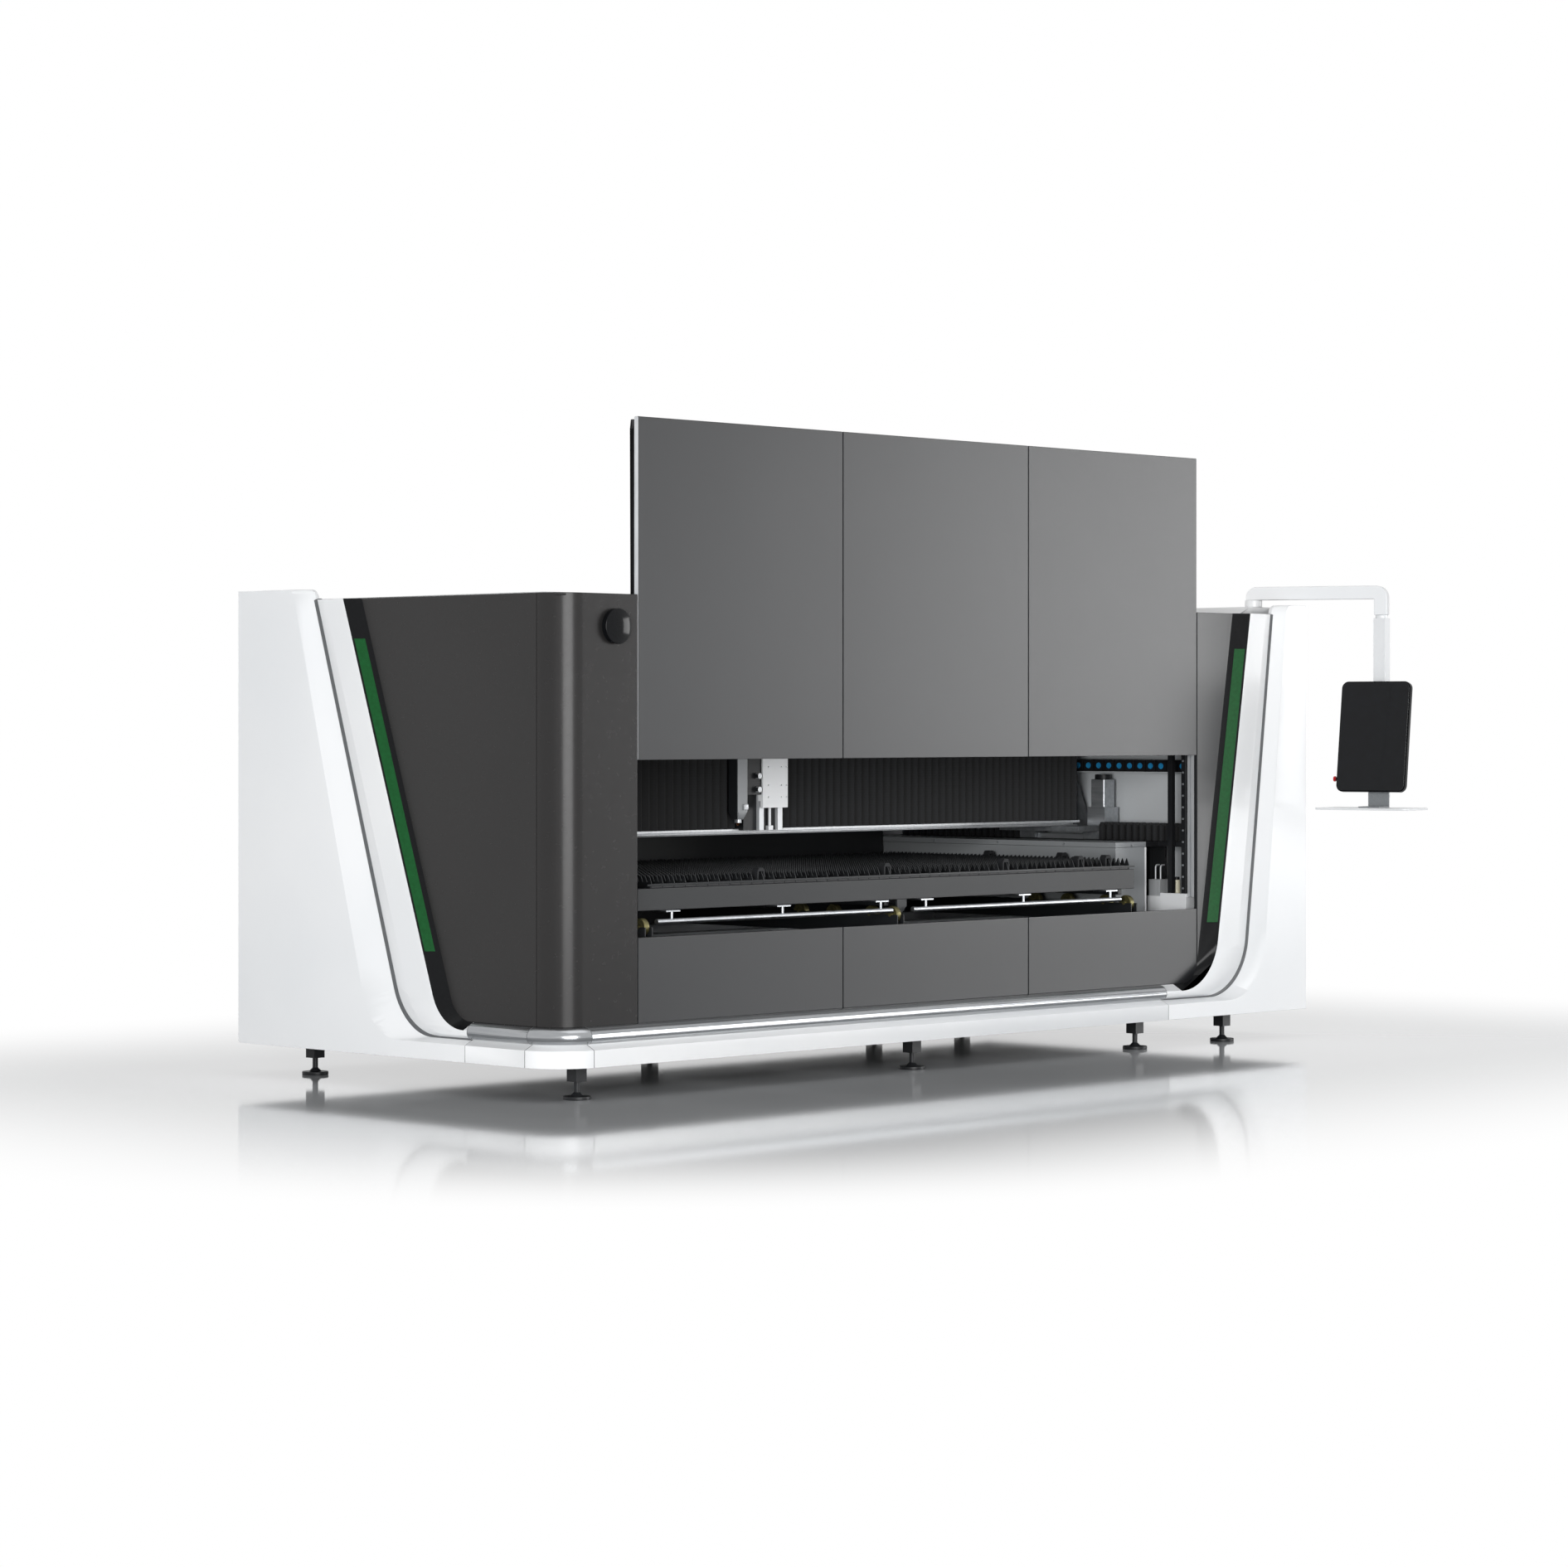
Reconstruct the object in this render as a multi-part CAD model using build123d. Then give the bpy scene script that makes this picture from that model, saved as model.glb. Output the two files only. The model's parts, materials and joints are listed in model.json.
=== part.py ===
"""Fiber laser cutting machine: lifting door, drawer table, gantry with cutting head, operator console."""
import os
from math import cos, radians, sin

from build123d import *

# Enclosure, in millimetres: x to the right along the front, y to the rear, z up from the floor.
# The dark front panels lie on y = 0 and the dark left panel on x = 0.
body_length = 4860.0
body_depth = 1990.0
panel_thickness = 20.0
panel_bottom = 297.0
panel_top = 2050.0
shell_rise = 45.0
corner_radius = 133.0
panel_gap = 4.0
overrun = 20.0
slide_gap = 0.5

# Base profile: how far each line of the skirt stands proud of the dark panels, and its height
bead_proud = 52.0
groove_proud = 19.0
skirt_proud = 63.0
bead_height = 267.0
groove_height = 229.0
skirt_top = 207.0
skirt_bottom = 137.0
bead_rise_share = 0.72
left_seam_from_rear = 1490.0
front_seam_from_end = 1060.0

# Swept-back legs: where each line crosses the foot height, measured in from the far end of its side,
# how far it runs back for each millimetre of rise, and its bend into the base
leg_foot_height = 470.0
left_panel_edge_foot = 1305.4
left_panel_edge_lean_share = 0.34519
left_panel_edge_bend = 140.0
left_bead_foot = 1253.0
left_bead_lean_share = 0.351646
left_bead_bend = 200.0
left_groove_foot = 990.7
left_groove_lean_share = 0.323228
left_groove_bend = 275.0
left_crease_foot = 815.5
left_crease_lean_share = 0.273608
left_crease_bend = 240.0
right_panel_edge_foot = 757.0
right_panel_edge_lean_share = 0.163924
right_panel_edge_bend = 110.0
right_bead_foot = 679.2
right_bead_lean_share = 0.160886
right_bead_bend = 270.0
right_groove_foot = 418.5
right_groove_lean_share = 0.125506
right_groove_bend = 300.0
right_crease_foot = 320.0
right_crease_lean_share = 0.101266
right_crease_bend = 280.0
shell_wall = 12.0
shell_top_rounding = 45.0
shell_top_run = 150.0
panel_lap = 60.0
crown_shares = ((1.0, 0.0), (0.62, 0.76), (0.14, 1.0))
channel_rim_share = 0.94
left_channel_tail = 20.0
right_channel_tail = 110.0

# Status light bars, flush in the sloped channels
light_bottom = 580.0
light_top_inset = 170.0
light_inner_share = 0.3
light_outer_share = 0.86

# Bare round badge on the front-left panel
badge_x = 308.0
badge_from_top = 133.0
badge_radius = 72.5
badge_rim = 24.0
badge_thickness = 35.0

# Front opening, lower panels and lifting door
opening_left = 436.5
right_bay = 770.4
front_panel_count = 3
lower_panel_top = 646.0
door_height = 1406.0
door_travel = 726.0
door_skin = 25.0
door_tube = 40.0
door_tube_depth = 30.0
door_frame_inset = 10.0
slider_length = 120.0
slider_inset = 140.0
slider_pitch = 280.0
shoe_depth = 15.0
guide_width = 35.0
guide_depth = 38.0
guide_bottom = 700.0
guide_slot = 12.0
guide_slot_depth = 15.0
slider_key_clearance = 1.0
slider_gap = 0.6
post_size = 26.0
post_x_from_guide = -10.0
post_y = 62.0
rear_post_y = 144.0
stand_top = 715.0
stand_front = 60.0
stand_rear = 296.0
stand_width = 86.0
stand_step_top = 700.0
stand_step_depth = 80.0

# Roof, rear and right-hand covers
roof_front = 110.0
roof_rise = 40.0
roof_wall = 8.0
rear_thickness = 15.0
rear_panel_count = 3
right_thickness = 15.0

# Base frame of square tubes, on levelling feet
frame_bottom = 145.0
frame_top = 330.0
frame_tube = 100.0
rear_rail_from_rear = 300.0
cross_tube_shares = (0.0, 0.074, 0.28, 0.445, 0.61, 0.8, 0.862, 0.92, 1.0)
foot_shares = (0.019, 0.435, 0.755, 0.891)
foot_disc_radius = 57.0
foot_disc_height = 14.0
foot_cone_height = 16.0
foot_stem_radius = 12.0
foot_tube = 58.0
foot_tube_length = 62.0
foot_plate = 90.0
foot_plate_thickness = 10.0
foot_bore_clearance = 0.3

# Bed: sides, flanges, rail beams, cross beams, rails
bed_side_gap = 20.0
bed_side_width = 225.0
bed_side_front = 250.0
bed_rear_gap = 50.0
bed_side_top = 935.0
bed_wall = 14.0
flange_thickness = 25.0
rail_beam_gap = 95.0
rail_beam_width = 115.0
rail_beam_front = 300.0
rail_front = 110.0
rail_inset = 60.0
rail_width = 30.0
rail_height = 25.0
cross_beam_size = 80.0
cross_beam_top = 600.0
front_cross_beam = 300.0
middle_cross_beam = 800.0
rear_cross_beam_from_rear = 590.0
rear_wall_from_rear = 240.0
rear_wall_thickness = 20.0
rear_wall_top = 1000.0
chamber_wall_gap = 85.0
chamber_wall_thickness = 10.0

# Scrap tray, control cabinet and laser source
tray_inset = 60.0
tray_front = 220.0
tray_rear_gap = 350.0
tray_height = 110.0
tray_wall = 5.0
cabinet_gap = 25.0
cabinet_end_gap = 60.0
cabinet_front = 180.0
cabinet_rear = 980.0
cabinet_top = 1700.0
source_front = 1040.0
source_rear_gap = 90.0
source_top = 980.0
cabinet_edge = 12.0

# Drawer table
table_left = 550.0
table_end_room = 1090.0
table_front = 120.0
table_rear_room = 340.0
table_bottom = 747.0
table_top = 839.0
table_tube = 60.0
table_ribs = 6
runner_width = 28.0
slat_count = 48
slat_thickness = 5.0
slat_tip = 891.0
slat_root = 862.0
slat_teeth = 8
slat_tip_share = 0.2
comb_top = 858.0
comb_thickness = 6.0
comb_inset = 70.0
handle_radius = 11.5
handle_drop = 45.0
handle_y = 92.0
handle_left_inset = 80.0
handle_left_gap = 100.0
handle_right_gap = 36.0
handle_right_inset = 141.0
bracket_shares = (0.06, 0.52, 0.95)
bracket_plate = 82.0
bracket_plate_depth = 40.0
bracket_plate_thickness = 6.0
bracket_post_radius = 7.0
locator_left_reach = 34.0
locator_right_reach = 30.0
locator_tip = 686.0
locator_shoulder = 716.0
locator_thickness = 12.0
front_block_shares = (0.209, 0.463, 0.713, 0.888, 0.95)
front_block_inset = 12.0
side_block_shares = (0.257, 0.558)
sheet_block_width = 46.0
sheet_block_depth = 36.0
sheet_block_top = 908.0
sheet_block_leg = 10.0
sheet_block_cap = 16.0

# Guide rollers and their tracks
roller_rows = (110.0, 235.0, 469.0, 671.0)
left_track_inset = 10.0
middle_track_offset = 70.0
right_track_inset = 70.0
roller_radius = 37.0
roller_width = 28.0
roller_crown = 4.0
spindle_radius = 9.0
spindle_clearance = 0.4
track_wall = 6.0
track_clear = 3.0
track_front = 64.0
track_rear_gap = 490.0
track_wall_top = 682.0
roller_gap = 0.3

# Gantry
beam_end_inset = 16.0
beam_front = 820.0
beam_rear = 1050.0
beam_bottom = 1026.0
beam_top = 1385.0
beam_wall = 12.0
lip_front = 777.0
lip_thickness = 12.0
lip_bottom = 1040.0
low_lip_front = 792.0
low_lip_thickness = 4.0
carriage_front = 640.0
carriage_rear = 1147.0
carriage_thickness = 26.0
carriage_inner_reach = 190.0
carriage_outer_reach = 115.0
block_width = 76.0
block_length = 100.0
end_plate = 12.0
gusset_thickness = 12.0
gusset_reach = 130.0
gusset_height = 260.0
gear_width = 104.0
gear_depth = 110.0
gear_height = 90.0
motor_width = 86.0
motor_height = 135.0
motor_cap = 24.0
motor_front = 640.0
motor_from_rail = 60.0
motor_rounding_share = 0.25
motor_cap_share = 0.9

# Pleated covers
beam_pleat = 48.0
rail_pleat = 41.0
pleat_depth = 26.0
rail_pleat_depth = 14.0
rail_bellows_width = 96.0
rail_bellows_height = 86.0
rail_bellows_slot = 52.0
rail_bellows_roof = 40.0

# Cable chain beside the right rail
chain_from_wall = 60.0
chain_front = 170.0
chain_links = 11
chain_pitch = 65.0
chain_height = 57.0
chain_width = 44.0
chain_bottom = 1290.0
chain_disc_radius = 13.5
chain_disc_thickness = 4.0
chain_shelf_thickness = 6.0
chain_link_gap = 5.0
chain_link_wall = 8.0

# Lubricator on the step behind the right-hand posts
pump_inset = 6.0
pump_width = 62.0
pump_top = 778.0
pipe_radius = 4.0
pipe_height = 68.0
pipe_bend = 14.0
pipe_shares = (0.3, 0.75)
reservoir_inset = 60.0
reservoir_y = 165.0
reservoir_radius = 20.0
reservoir_height = 62.0
reservoir_cap_height = 14.0
reservoir_cap_share = 0.8

# Head carriage, lift plate and cutting head
head_carriage_left = 1796.0
head_carriage_right = 2046.0
head_carriage_front = 747.0
head_carriage_bottom = 1045.0
head_carriage_top = 1480.0
lift_rail_inset = 82.0
lift_rail_width = 30.0
lift_rail_spacing = 119.0
lift_rail_depth = 18.0
lift_screw_radius = 7.0
lift_bearing_height = 20.0
lift_plate_left = 1871.0
lift_plate_width = 159.0
lift_plate_thickness = 15.0
lift_plate_bottom = 1146.0
lift_plate_top = 1440.0
lift_block_height = 60.0
lift_block_inset = 30.0
lift_hole_radius = 4.0
lift_hole_column_shares = (0.22, 0.74, 0.94)
lift_hole_row_shares = (0.16, 0.34, 0.62, 0.8)
head_gap = 92.5
head_width = 67.0
head_depth = 62.0
head_bottom = 1096.0
head_shoulder = 1130.0
head_top = 1470.0
head_taper_share = 0.55
head_edge = 8.0
head_bracket_bottom = 1205.0
head_bracket_top = 1400.0
connector_radius = 13.0
connector_length = 40.0
connector_inset = 30.0
connector_shares = (0.12, 0.43)
nozzle_ring_radius = 16.0
nozzle_ring_height = 15.0
nozzle_tip_radius = 4.0
nozzle_bore_radius = 1.5
nozzle_bottom = 1069.0

# Operator console
neck_from_end = 140.0
neck_y = 150.0
neck_radius = 42.0
neck_height = 33.0
arm_size = 64.0
arm_length = 630.0
arm_direction = -65.4
arm_rounding = 55.0
arm_drop = 78.0
drop_tube = 60.0
drop_bottom = 1165.0
swivel_gap = 0.3
swivel_collar = 14.0
screen_direction = 191.3
screen_width = 360.0
screen_height = 536.0
screen_depth = 26.0
screen_middle = 1455.0
screen_face = 100.0
screen_rounding = 34.0
screen_glass = 5.0
screen_glass_inset = 6.0
screen_tilt = 8.0
hinge_radius = 7.0
hinge_reach = 17.0
hinge_clearance = 0.3
lug_thickness = 12.0
lug_radius = 14.0
knuckle_width = 70.0
shelf_height = 1109.0
shelf_thickness = 10.0
shelf_width = 486.0
shelf_front = 250.0
shelf_rear = 20.0
shelf_rounding = 30.0
hook_width = 110.0
hook_thickness = 6.0
hook_top = 1300.0
hook_foot = 120.0
stop_height = 1250.0
stop_radius = 13.0
stop_cap = 9.0
stop_stem_radius = 5.0
stop_reach = 18.0
stop_travel = 4.0
stop_collar_radius = 10.0
stop_collar_height = 4.0
stop_clearance = 0.3

# Places worked out from the sizes above
shell_top = panel_top + shell_rise
left_seam = body_depth - left_seam_from_rear
front_seam = body_length - front_seam_from_end
panel_width = (body_length - opening_left - right_bay) / front_panel_count
opening_right = opening_left + front_panel_count * panel_width
door_bottom = lower_panel_top + door_travel
door_top = door_bottom + door_height
door_back = door_skin + door_tube_depth
guide_left = opening_right
flange_top = bed_side_top + flange_thickness
rail_top = flange_top + rail_height
rear_rail_y = body_depth - rear_rail_from_rear
bed_rear = body_depth - bed_rear_gap
rear_wall_y = body_depth - rear_wall_from_rear
cross_beam_rows = (front_cross_beam, middle_cross_beam, body_depth - rear_cross_beam_from_rear)
table_right = body_length - table_end_room
table_rear = body_depth - table_rear_room
table_middle = (table_left + table_right) / 2
bed_side_inner = table_right - table_middle + bed_side_gap
bed_side_outer = bed_side_inner + bed_side_width
rail_beam_inner = bed_side_outer + rail_beam_gap
rail_beam_outer = rail_beam_inner + rail_beam_width
rail_offset = rail_beam_inner + rail_inset
chamber_wall_x = table_middle + rail_beam_outer + chamber_wall_gap
chain_x = chamber_wall_x - chain_from_wall
cabinet_left = chamber_wall_x + chamber_wall_thickness + cabinet_gap
cabinet_right = body_length - cabinet_end_gap
beam_right = table_middle + rail_offset - beam_end_inset
beam_left = 2 * table_middle - beam_right
lift_plate_back = head_carriage_front - lift_rail_depth - slide_gap
lift_plate_front = lift_plate_back - 2 * lift_plate_thickness
head_x = lift_plate_left - head_gap - head_width / 2
head_y = lift_plate_front + head_depth / 2
stand_left = guide_left + post_x_from_guide
neck_x = body_length - neck_from_end
handle_height = table_bottom - handle_drop
handle_left_span = (table_left + handle_left_inset, table_middle - handle_left_gap)
handle_right_span = (table_middle + handle_right_gap, table_right - handle_right_inset)
track_x = (table_left + left_track_inset, table_middle - middle_track_offset, table_right - right_track_inset)
roof_top = panel_top + roof_rise
runner_bottom = table_bottom - runner_width
runner_front = table_front + table_tube / 2
roller_height = runner_bottom - roller_gap - roller_radius
screen_pivot = screen_face - screen_depth - hinge_reach


def block(x0, x1, y0, y1, z0, z1):
    """A box by its limits."""
    box = Box(x1 - x0, y1 - y0, z1 - z0)
    return Pos((x0 + x1) / 2, (y0 + y1) / 2, (z0 + z1) / 2) * box


def upright(x, y, z0, z1, radius):
    """A round bar that stands on z0."""
    return Pos(x, y, (z0 + z1) / 2) * Cylinder(radius, z1 - z0)


def crossbar(x0, x1, y, z, radius):
    """A round bar along x."""
    return Pos((x0 + x1) / 2, y, z) * Rot(0, 90, 0) * Cylinder(radius, x1 - x0)


def side_prism(points, x0, x1):
    """A (y, z) outline carried along x."""
    return extrude(Plane.YZ.offset(x0) * make_face(Polyline(*points, close=True)), x1 - x0)


def front_prism(points, y0, y1):
    """An (x, z) outline carried along y."""
    return extrude(Plane.XZ.offset(-y0) * make_face(Polyline(*points, close=True)), y0 - y1)


def mirrored(x):
    """The same distance on the other side of the table's middle."""
    return 2 * table_middle - x


def both_sides(solid):
    """A solid and its twin across the table's middle."""
    return [solid, mirror(solid, Plane.YZ.offset(table_middle))]


class Course:
    """A line that runs down a leg, bends at the base and goes on to the seam."""

    def __init__(self, foot, lean, base, bend, end):
        self.foot, self.lean, self.base, self.bend, self.end = foot, lean, base, bend, end

    def at(self, height):
        return self.foot + self.lean * (height - leg_foot_height)

    def blended(self, other, share):
        """The course that lies this share of the way to another."""
        values = zip(vars(self).values(), vars(other).values())
        return Course(*(a + share * (b - a) for a, b in values))

    def edges(self, top):
        points = ((self.at(top), top), (self.at(self.base), self.base), (self.end, self.base))
        return FilletPolyline(*points, radius=self.bend).edges()

    def rounded_edges(self, top, far):
        """The course with a rounded turn into the top edge, towards the far end."""
        run = shell_top_run if far > self.foot else -shell_top_run
        points = ((self.at(top) + run, top), (self.at(top), top), (self.at(self.base), self.base))
        radii = (shell_top_rounding, self.bend)
        return FilletPolyline(*points, (self.end, self.base), radius=radii).edges()


class Face2D:
    """One outer side of the enclosure: its plane, and which way its normal points."""

    def __init__(self, plane, outward):
        self.plane, self.outward = plane, outward

    def level(self, proud):
        return self.plane.offset(self.outward * proud)

    def raised(self, face, low, high):
        return extrude(self.level(low) * face, self.outward * (high - low))

    def sloped(self, low_face, low, high_face, high):
        return loft([self.level(low) * low_face, self.level(high) * high_face], ruled=True)


left_side = Face2D(Plane.YZ, -1)
front_side = Face2D(Plane.XZ, 1)


def strip(inner, outer, top):
    """The face between two courses."""
    first, second = inner.edges(top), outer.edges(top)
    head = Line((inner.at(top), top), (outer.at(top), top))
    end = Line((inner.end, inner.base), (outer.end, outer.base))
    return make_face([*first, *second, *head.edges(), *end.edges()])


def shell_outline(course, far):
    """The face from a course out to the far end of the enclosure."""
    edges = course.rounded_edges(shell_top, far)
    run = shell_top_run if far > course.foot else -shell_top_run
    start = (course.at(shell_top) + run, shell_top)
    corners = ((course.end, course.base), (course.end, skirt_bottom), (far, skirt_bottom))
    rest = Polyline(*corners, (far, shell_top), start)
    return make_face([*edges, *rest.edges()])


def leg_courses(feet, leans, bends, far, end):
    """The panel edge, bead, groove and crease courses of one leg, measured in from its far end."""
    bases = (panel_bottom, bead_height, groove_height, skirt_top)
    values = zip(feet, leans, bases, bends)
    return [Course(far - foot, lean, base, bend, end) for foot, lean, base, bend in values]


def leg_trim(side, bead, groove):
    """The crowned bead between its inner edge and the groove."""
    outer = [bead.blended(groove, share) for share, rise in crown_shares]
    rises = [groove_proud + rise * (bead_proud - groove_proud) for share, rise in crown_shares]
    faces = [strip(bead, course, panel_top) for course in outer]
    trim = side.raised(faces[0], 0, groove_proud)
    for low, high, low_face, high_face in zip(rises, rises[1:], faces, faces[1:]):
        trim += side.sloped(low_face, low, high_face, high)
    return trim


def light_parts(side, edge, bead, tail):
    """The sloped black channel beside the bead, and the light bar set flush in it."""
    stop = edge.end + tail
    inner = Course(edge.foot, edge.lean, edge.base, edge.bend, stop)
    outer = Course(bead.foot, bead.lean, bead.base, bead.bend, stop)
    rim = inner.blended(outer, channel_rim_share)
    low = strip(inner, outer, panel_top)
    wedge = side.sloped(low, 0, strip(rim, outer, panel_top), bead_proud)
    bar = []
    for height, shares in (
        (light_bottom, (light_inner_share, light_outer_share)),
        (panel_top - light_top_inset, (light_outer_share, light_inner_share)),
    ):
        for share in shares:
            bar.append((inner.at(height) + share * (outer.at(height) - inner.at(height)), height))
    prism = side.raised(make_face(Polyline(*bar, close=True)), -overrun, bead_proud + overrun)
    return wedge - prism, wedge & prism


def base_end(side, seam, tail):
    """The short white run between the channel's tail and the seam."""
    far = seam + tail
    low = make_face(Polyline((seam, panel_bottom), (far, panel_bottom), (far, bead_height),
                             (seam, bead_height), close=True))
    rim = bead_height + (1 - channel_rim_share) * (panel_bottom - bead_height)
    high = make_face(Polyline((seam, rim), (far, rim), (far, bead_height), (seam, bead_height), close=True))
    return side.sloped(low, 0, high, bead_proud)


def end_shell(side, groove, crease, far):
    """White outer shell: a flat pan whose inner edge bevels down to the groove."""
    low, high = shell_outline(groove, far), shell_outline(crease, far)
    body = side.raised(low, 0, groove_proud) + side.sloped(low, groove_proud, high, skirt_proud)
    hollow = offset(high, -shell_wall)
    return body - side.raised(hollow, -overrun, skirt_proud - shell_wall)


def base_section():
    """Bead, groove and skirt, as (proud, height)."""
    rise_height = panel_bottom - (1 - bead_rise_share) * (panel_bottom - bead_height)
    crest = (bead_rise_share * bead_proud, rise_height)
    bead = ThreePointArc((0, panel_bottom), crest, (bead_proud, bead_height))
    fall_share = 1 - (1 - bead_rise_share) / 2
    fall = (groove_proud + fall_share * (bead_proud - groove_proud),
            (bead_height + groove_height) / 2 - (1 - bead_rise_share) * (bead_height - groove_height) / 2)
    turn = ThreePointArc((bead_proud, bead_height), fall, (groove_proud, groove_height))
    points = ((groove_proud, groove_height), (skirt_proud, skirt_top), (skirt_proud, skirt_bottom),
              (-panel_thickness, skirt_bottom), (-panel_thickness, panel_bottom), (0, panel_bottom))
    return make_face([*bead.edges(), *turn.edges(), *Polyline(*points).edges()])


def base_trims():
    """Three runs of the base profile: left, round corner, front."""
    section = base_section()
    left = Plane((0, corner_radius, 0), x_dir=(-1, 0, 0), z_dir=(0, 1, 0)) * section
    front = Plane((front_seam, 0, 0), x_dir=(0, -1, 0), z_dir=(-1, 0, 0))
    corner = revolve(left, Axis((corner_radius, corner_radius, 0), (0, 0, 1)), 90)
    return {
        "base_trim_left": extrude(left, left_seam - corner_radius),
        "base_trim_corner": corner,
        "base_trim_front": extrude(front * section, front_seam - corner_radius),
    }


def enclosure():
    """Shells, trims, light channels and fixed dark panels."""
    left = leg_courses(
        (left_panel_edge_foot, left_bead_foot, left_groove_foot, left_crease_foot),
        (left_panel_edge_lean_share, left_bead_lean_share, left_groove_lean_share, left_crease_lean_share),
        (left_panel_edge_bend, left_bead_bend, left_groove_bend, left_crease_bend),
        body_depth, left_seam)
    right = leg_courses(
        (right_panel_edge_foot, right_bead_foot, right_groove_foot, right_crease_foot),
        (right_panel_edge_lean_share, right_bead_lean_share,
         right_groove_lean_share, right_crease_lean_share),
        (right_panel_edge_bend, right_bead_bend, right_groove_bend, right_crease_bend),
        body_length, front_seam)
    left_channel, left_light = light_parts(left_side, left[0], left[1], left_channel_tail)
    right_channel, right_light = light_parts(front_side, right[0], right[1], right_channel_tail)
    left_trim = leg_trim(left_side, left[1], left[2])
    left_trim += base_end(left_side, left_seam, left_channel_tail)
    right_trim = leg_trim(front_side, right[1], right[2])
    right_trim += base_end(front_side, front_seam, right_channel_tail)
    left_rear = [(left[2].at(height) - panel_lap, height) for height in (panel_bottom, panel_top)]
    right_rear = [(right[2].at(height) - panel_lap, height) for height in (panel_bottom, panel_top)]
    side_start = corner_radius + panel_gap / 2
    side_panel = side_prism(
        ((side_start, panel_bottom), *left_rear, (side_start, panel_top)), 0, panel_thickness)
    right_start = opening_right + panel_gap / 2
    right_panel = front_prism(
        ((right_start, panel_bottom), *right_rear, (right_start, panel_top)), 0, panel_thickness)
    return {
        "left_shell": end_shell(left_side, left[2], left[3], body_depth),
        "right_shell": end_shell(front_side, right[2], right[3], body_length),
        "left_trim": left_trim,
        "right_trim": right_trim,
        "light_channels": [left_channel, right_channel],
        "status_lights": [left_light, right_light],
        "left_side_panel": side_panel,
        "front_right_panel": right_panel,
        "corner_panel": corner_panel(),
        "round_badge": round_badge(),
        **base_trims(),
    }


def corner_panel():
    """One bent sheet: the round front-left corner and the flat beside the opening."""
    inner = corner_radius - panel_thickness
    centre = (corner_radius, corner_radius)
    end = opening_left - panel_gap / 2
    outer_arc = CenterArc(centre, corner_radius, 180, 90)
    inner_arc = CenterArc(centre, inner, 180, 90)
    flat = Polyline((corner_radius, 0), (end, 0), (end, panel_thickness), (corner_radius, panel_thickness))
    seam = Line((0, corner_radius), (panel_thickness, corner_radius))
    face = make_face([*outer_arc.edges(), *flat.edges(), *inner_arc.edges(), *seam.edges()])
    return Pos(0, 0, panel_bottom) * extrude(face, panel_top - panel_bottom)


def round_badge():
    """A bare disc with a gently domed front."""
    rise = badge_thickness - badge_rim
    dome_radius = (badge_radius ** 2 + rise ** 2) / (2 * rise)
    disc = Pos(0, 0, badge_thickness / 2) * Cylinder(badge_radius, badge_thickness)
    disc &= Pos(0, 0, badge_thickness - dome_radius) * Sphere(dome_radius)
    return Pos(badge_x, 0, panel_top - badge_from_top) * Rot(90, 0, 0) * disc


def front_panels(bottom, top, back):
    """The row of equal dark panels across the opening."""
    panels = []
    for index in range(front_panel_count):
        start = opening_left + index * panel_width + panel_gap / 2
        end = start + panel_width - panel_gap
        panels.append(block(start, end, 0, back, bottom, top))
    return panels


def door():
    """Three skins on a tube frame, with sliders that run in the guides."""
    left, right = opening_left + door_frame_inset, opening_right - door_frame_inset
    low, high = door_bottom + door_frame_inset, door_top - door_frame_inset
    tubes = [block(left, right, door_skin, door_back, low, low + door_tube)]
    tubes.append(block(left, right, door_skin, door_back, high - door_tube, high))
    for index in range(front_panel_count + 1):
        middle = opening_left + index * panel_width
        start = min(max(middle - door_tube / 2, left), right - door_tube)
        tubes.append(block(start, start + door_tube, door_skin, door_back, low + door_tube, high - door_tube))
    slot_middle = panel_thickness + guide_depth / 2
    for height in (low + slider_inset, low + slider_inset + slider_pitch):
        shoe = block(right - door_tube, right - slider_gap, door_back, door_back + shoe_depth,
                     height, height + slider_length)
        key_half = guide_slot / 2 - slider_key_clearance
        reach = guide_left + guide_slot_depth - 2 * slider_key_clearance
        arm = block(right, reach, slot_middle - key_half, slot_middle + key_half,
                    height, height + slider_length)
        plane = Plane.YZ.offset((opening_left + opening_right) / 2)
        tubes += [shoe, arm, mirror(shoe, plane), mirror(arm, plane)]
    return {
        "door_panels": front_panels(door_bottom, door_top, door_skin),
        "door_frame": tubes,
    }


def door_guides():
    """Slotted aluminium guides beside the opening, and black posts on stands behind them."""
    right = guide_left + guide_width
    back = panel_thickness + guide_depth
    guide = block(guide_left, right, panel_thickness, back, guide_bottom, panel_top)
    middle = panel_thickness + guide_depth / 2
    guide -= block(guide_left - overrun, guide_left + guide_slot_depth, middle - guide_slot / 2,
                   middle + guide_slot / 2, guide_bottom - overrun, panel_top + overrun)
    stand_right = stand_left + stand_width
    step = stand_rear - stand_step_depth
    stand = block(stand_left, stand_right, stand_front, step, frame_top, stand_top)
    pump_step = block(stand_left, stand_right, step, stand_rear, frame_top, stand_step_top)
    posts = [stand]
    for y in (post_y, rear_post_y):
        posts.append(block(stand_left, stand_left + post_size, y, y + post_size, stand_top, panel_top))
    plane = Plane.YZ.offset((opening_left + opening_right) / 2)
    return {
        "door_guides": [guide, mirror(guide, plane)],
        "door_posts": [*posts, pump_step, *(mirror(post, plane) for post in posts)],
    }


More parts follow.
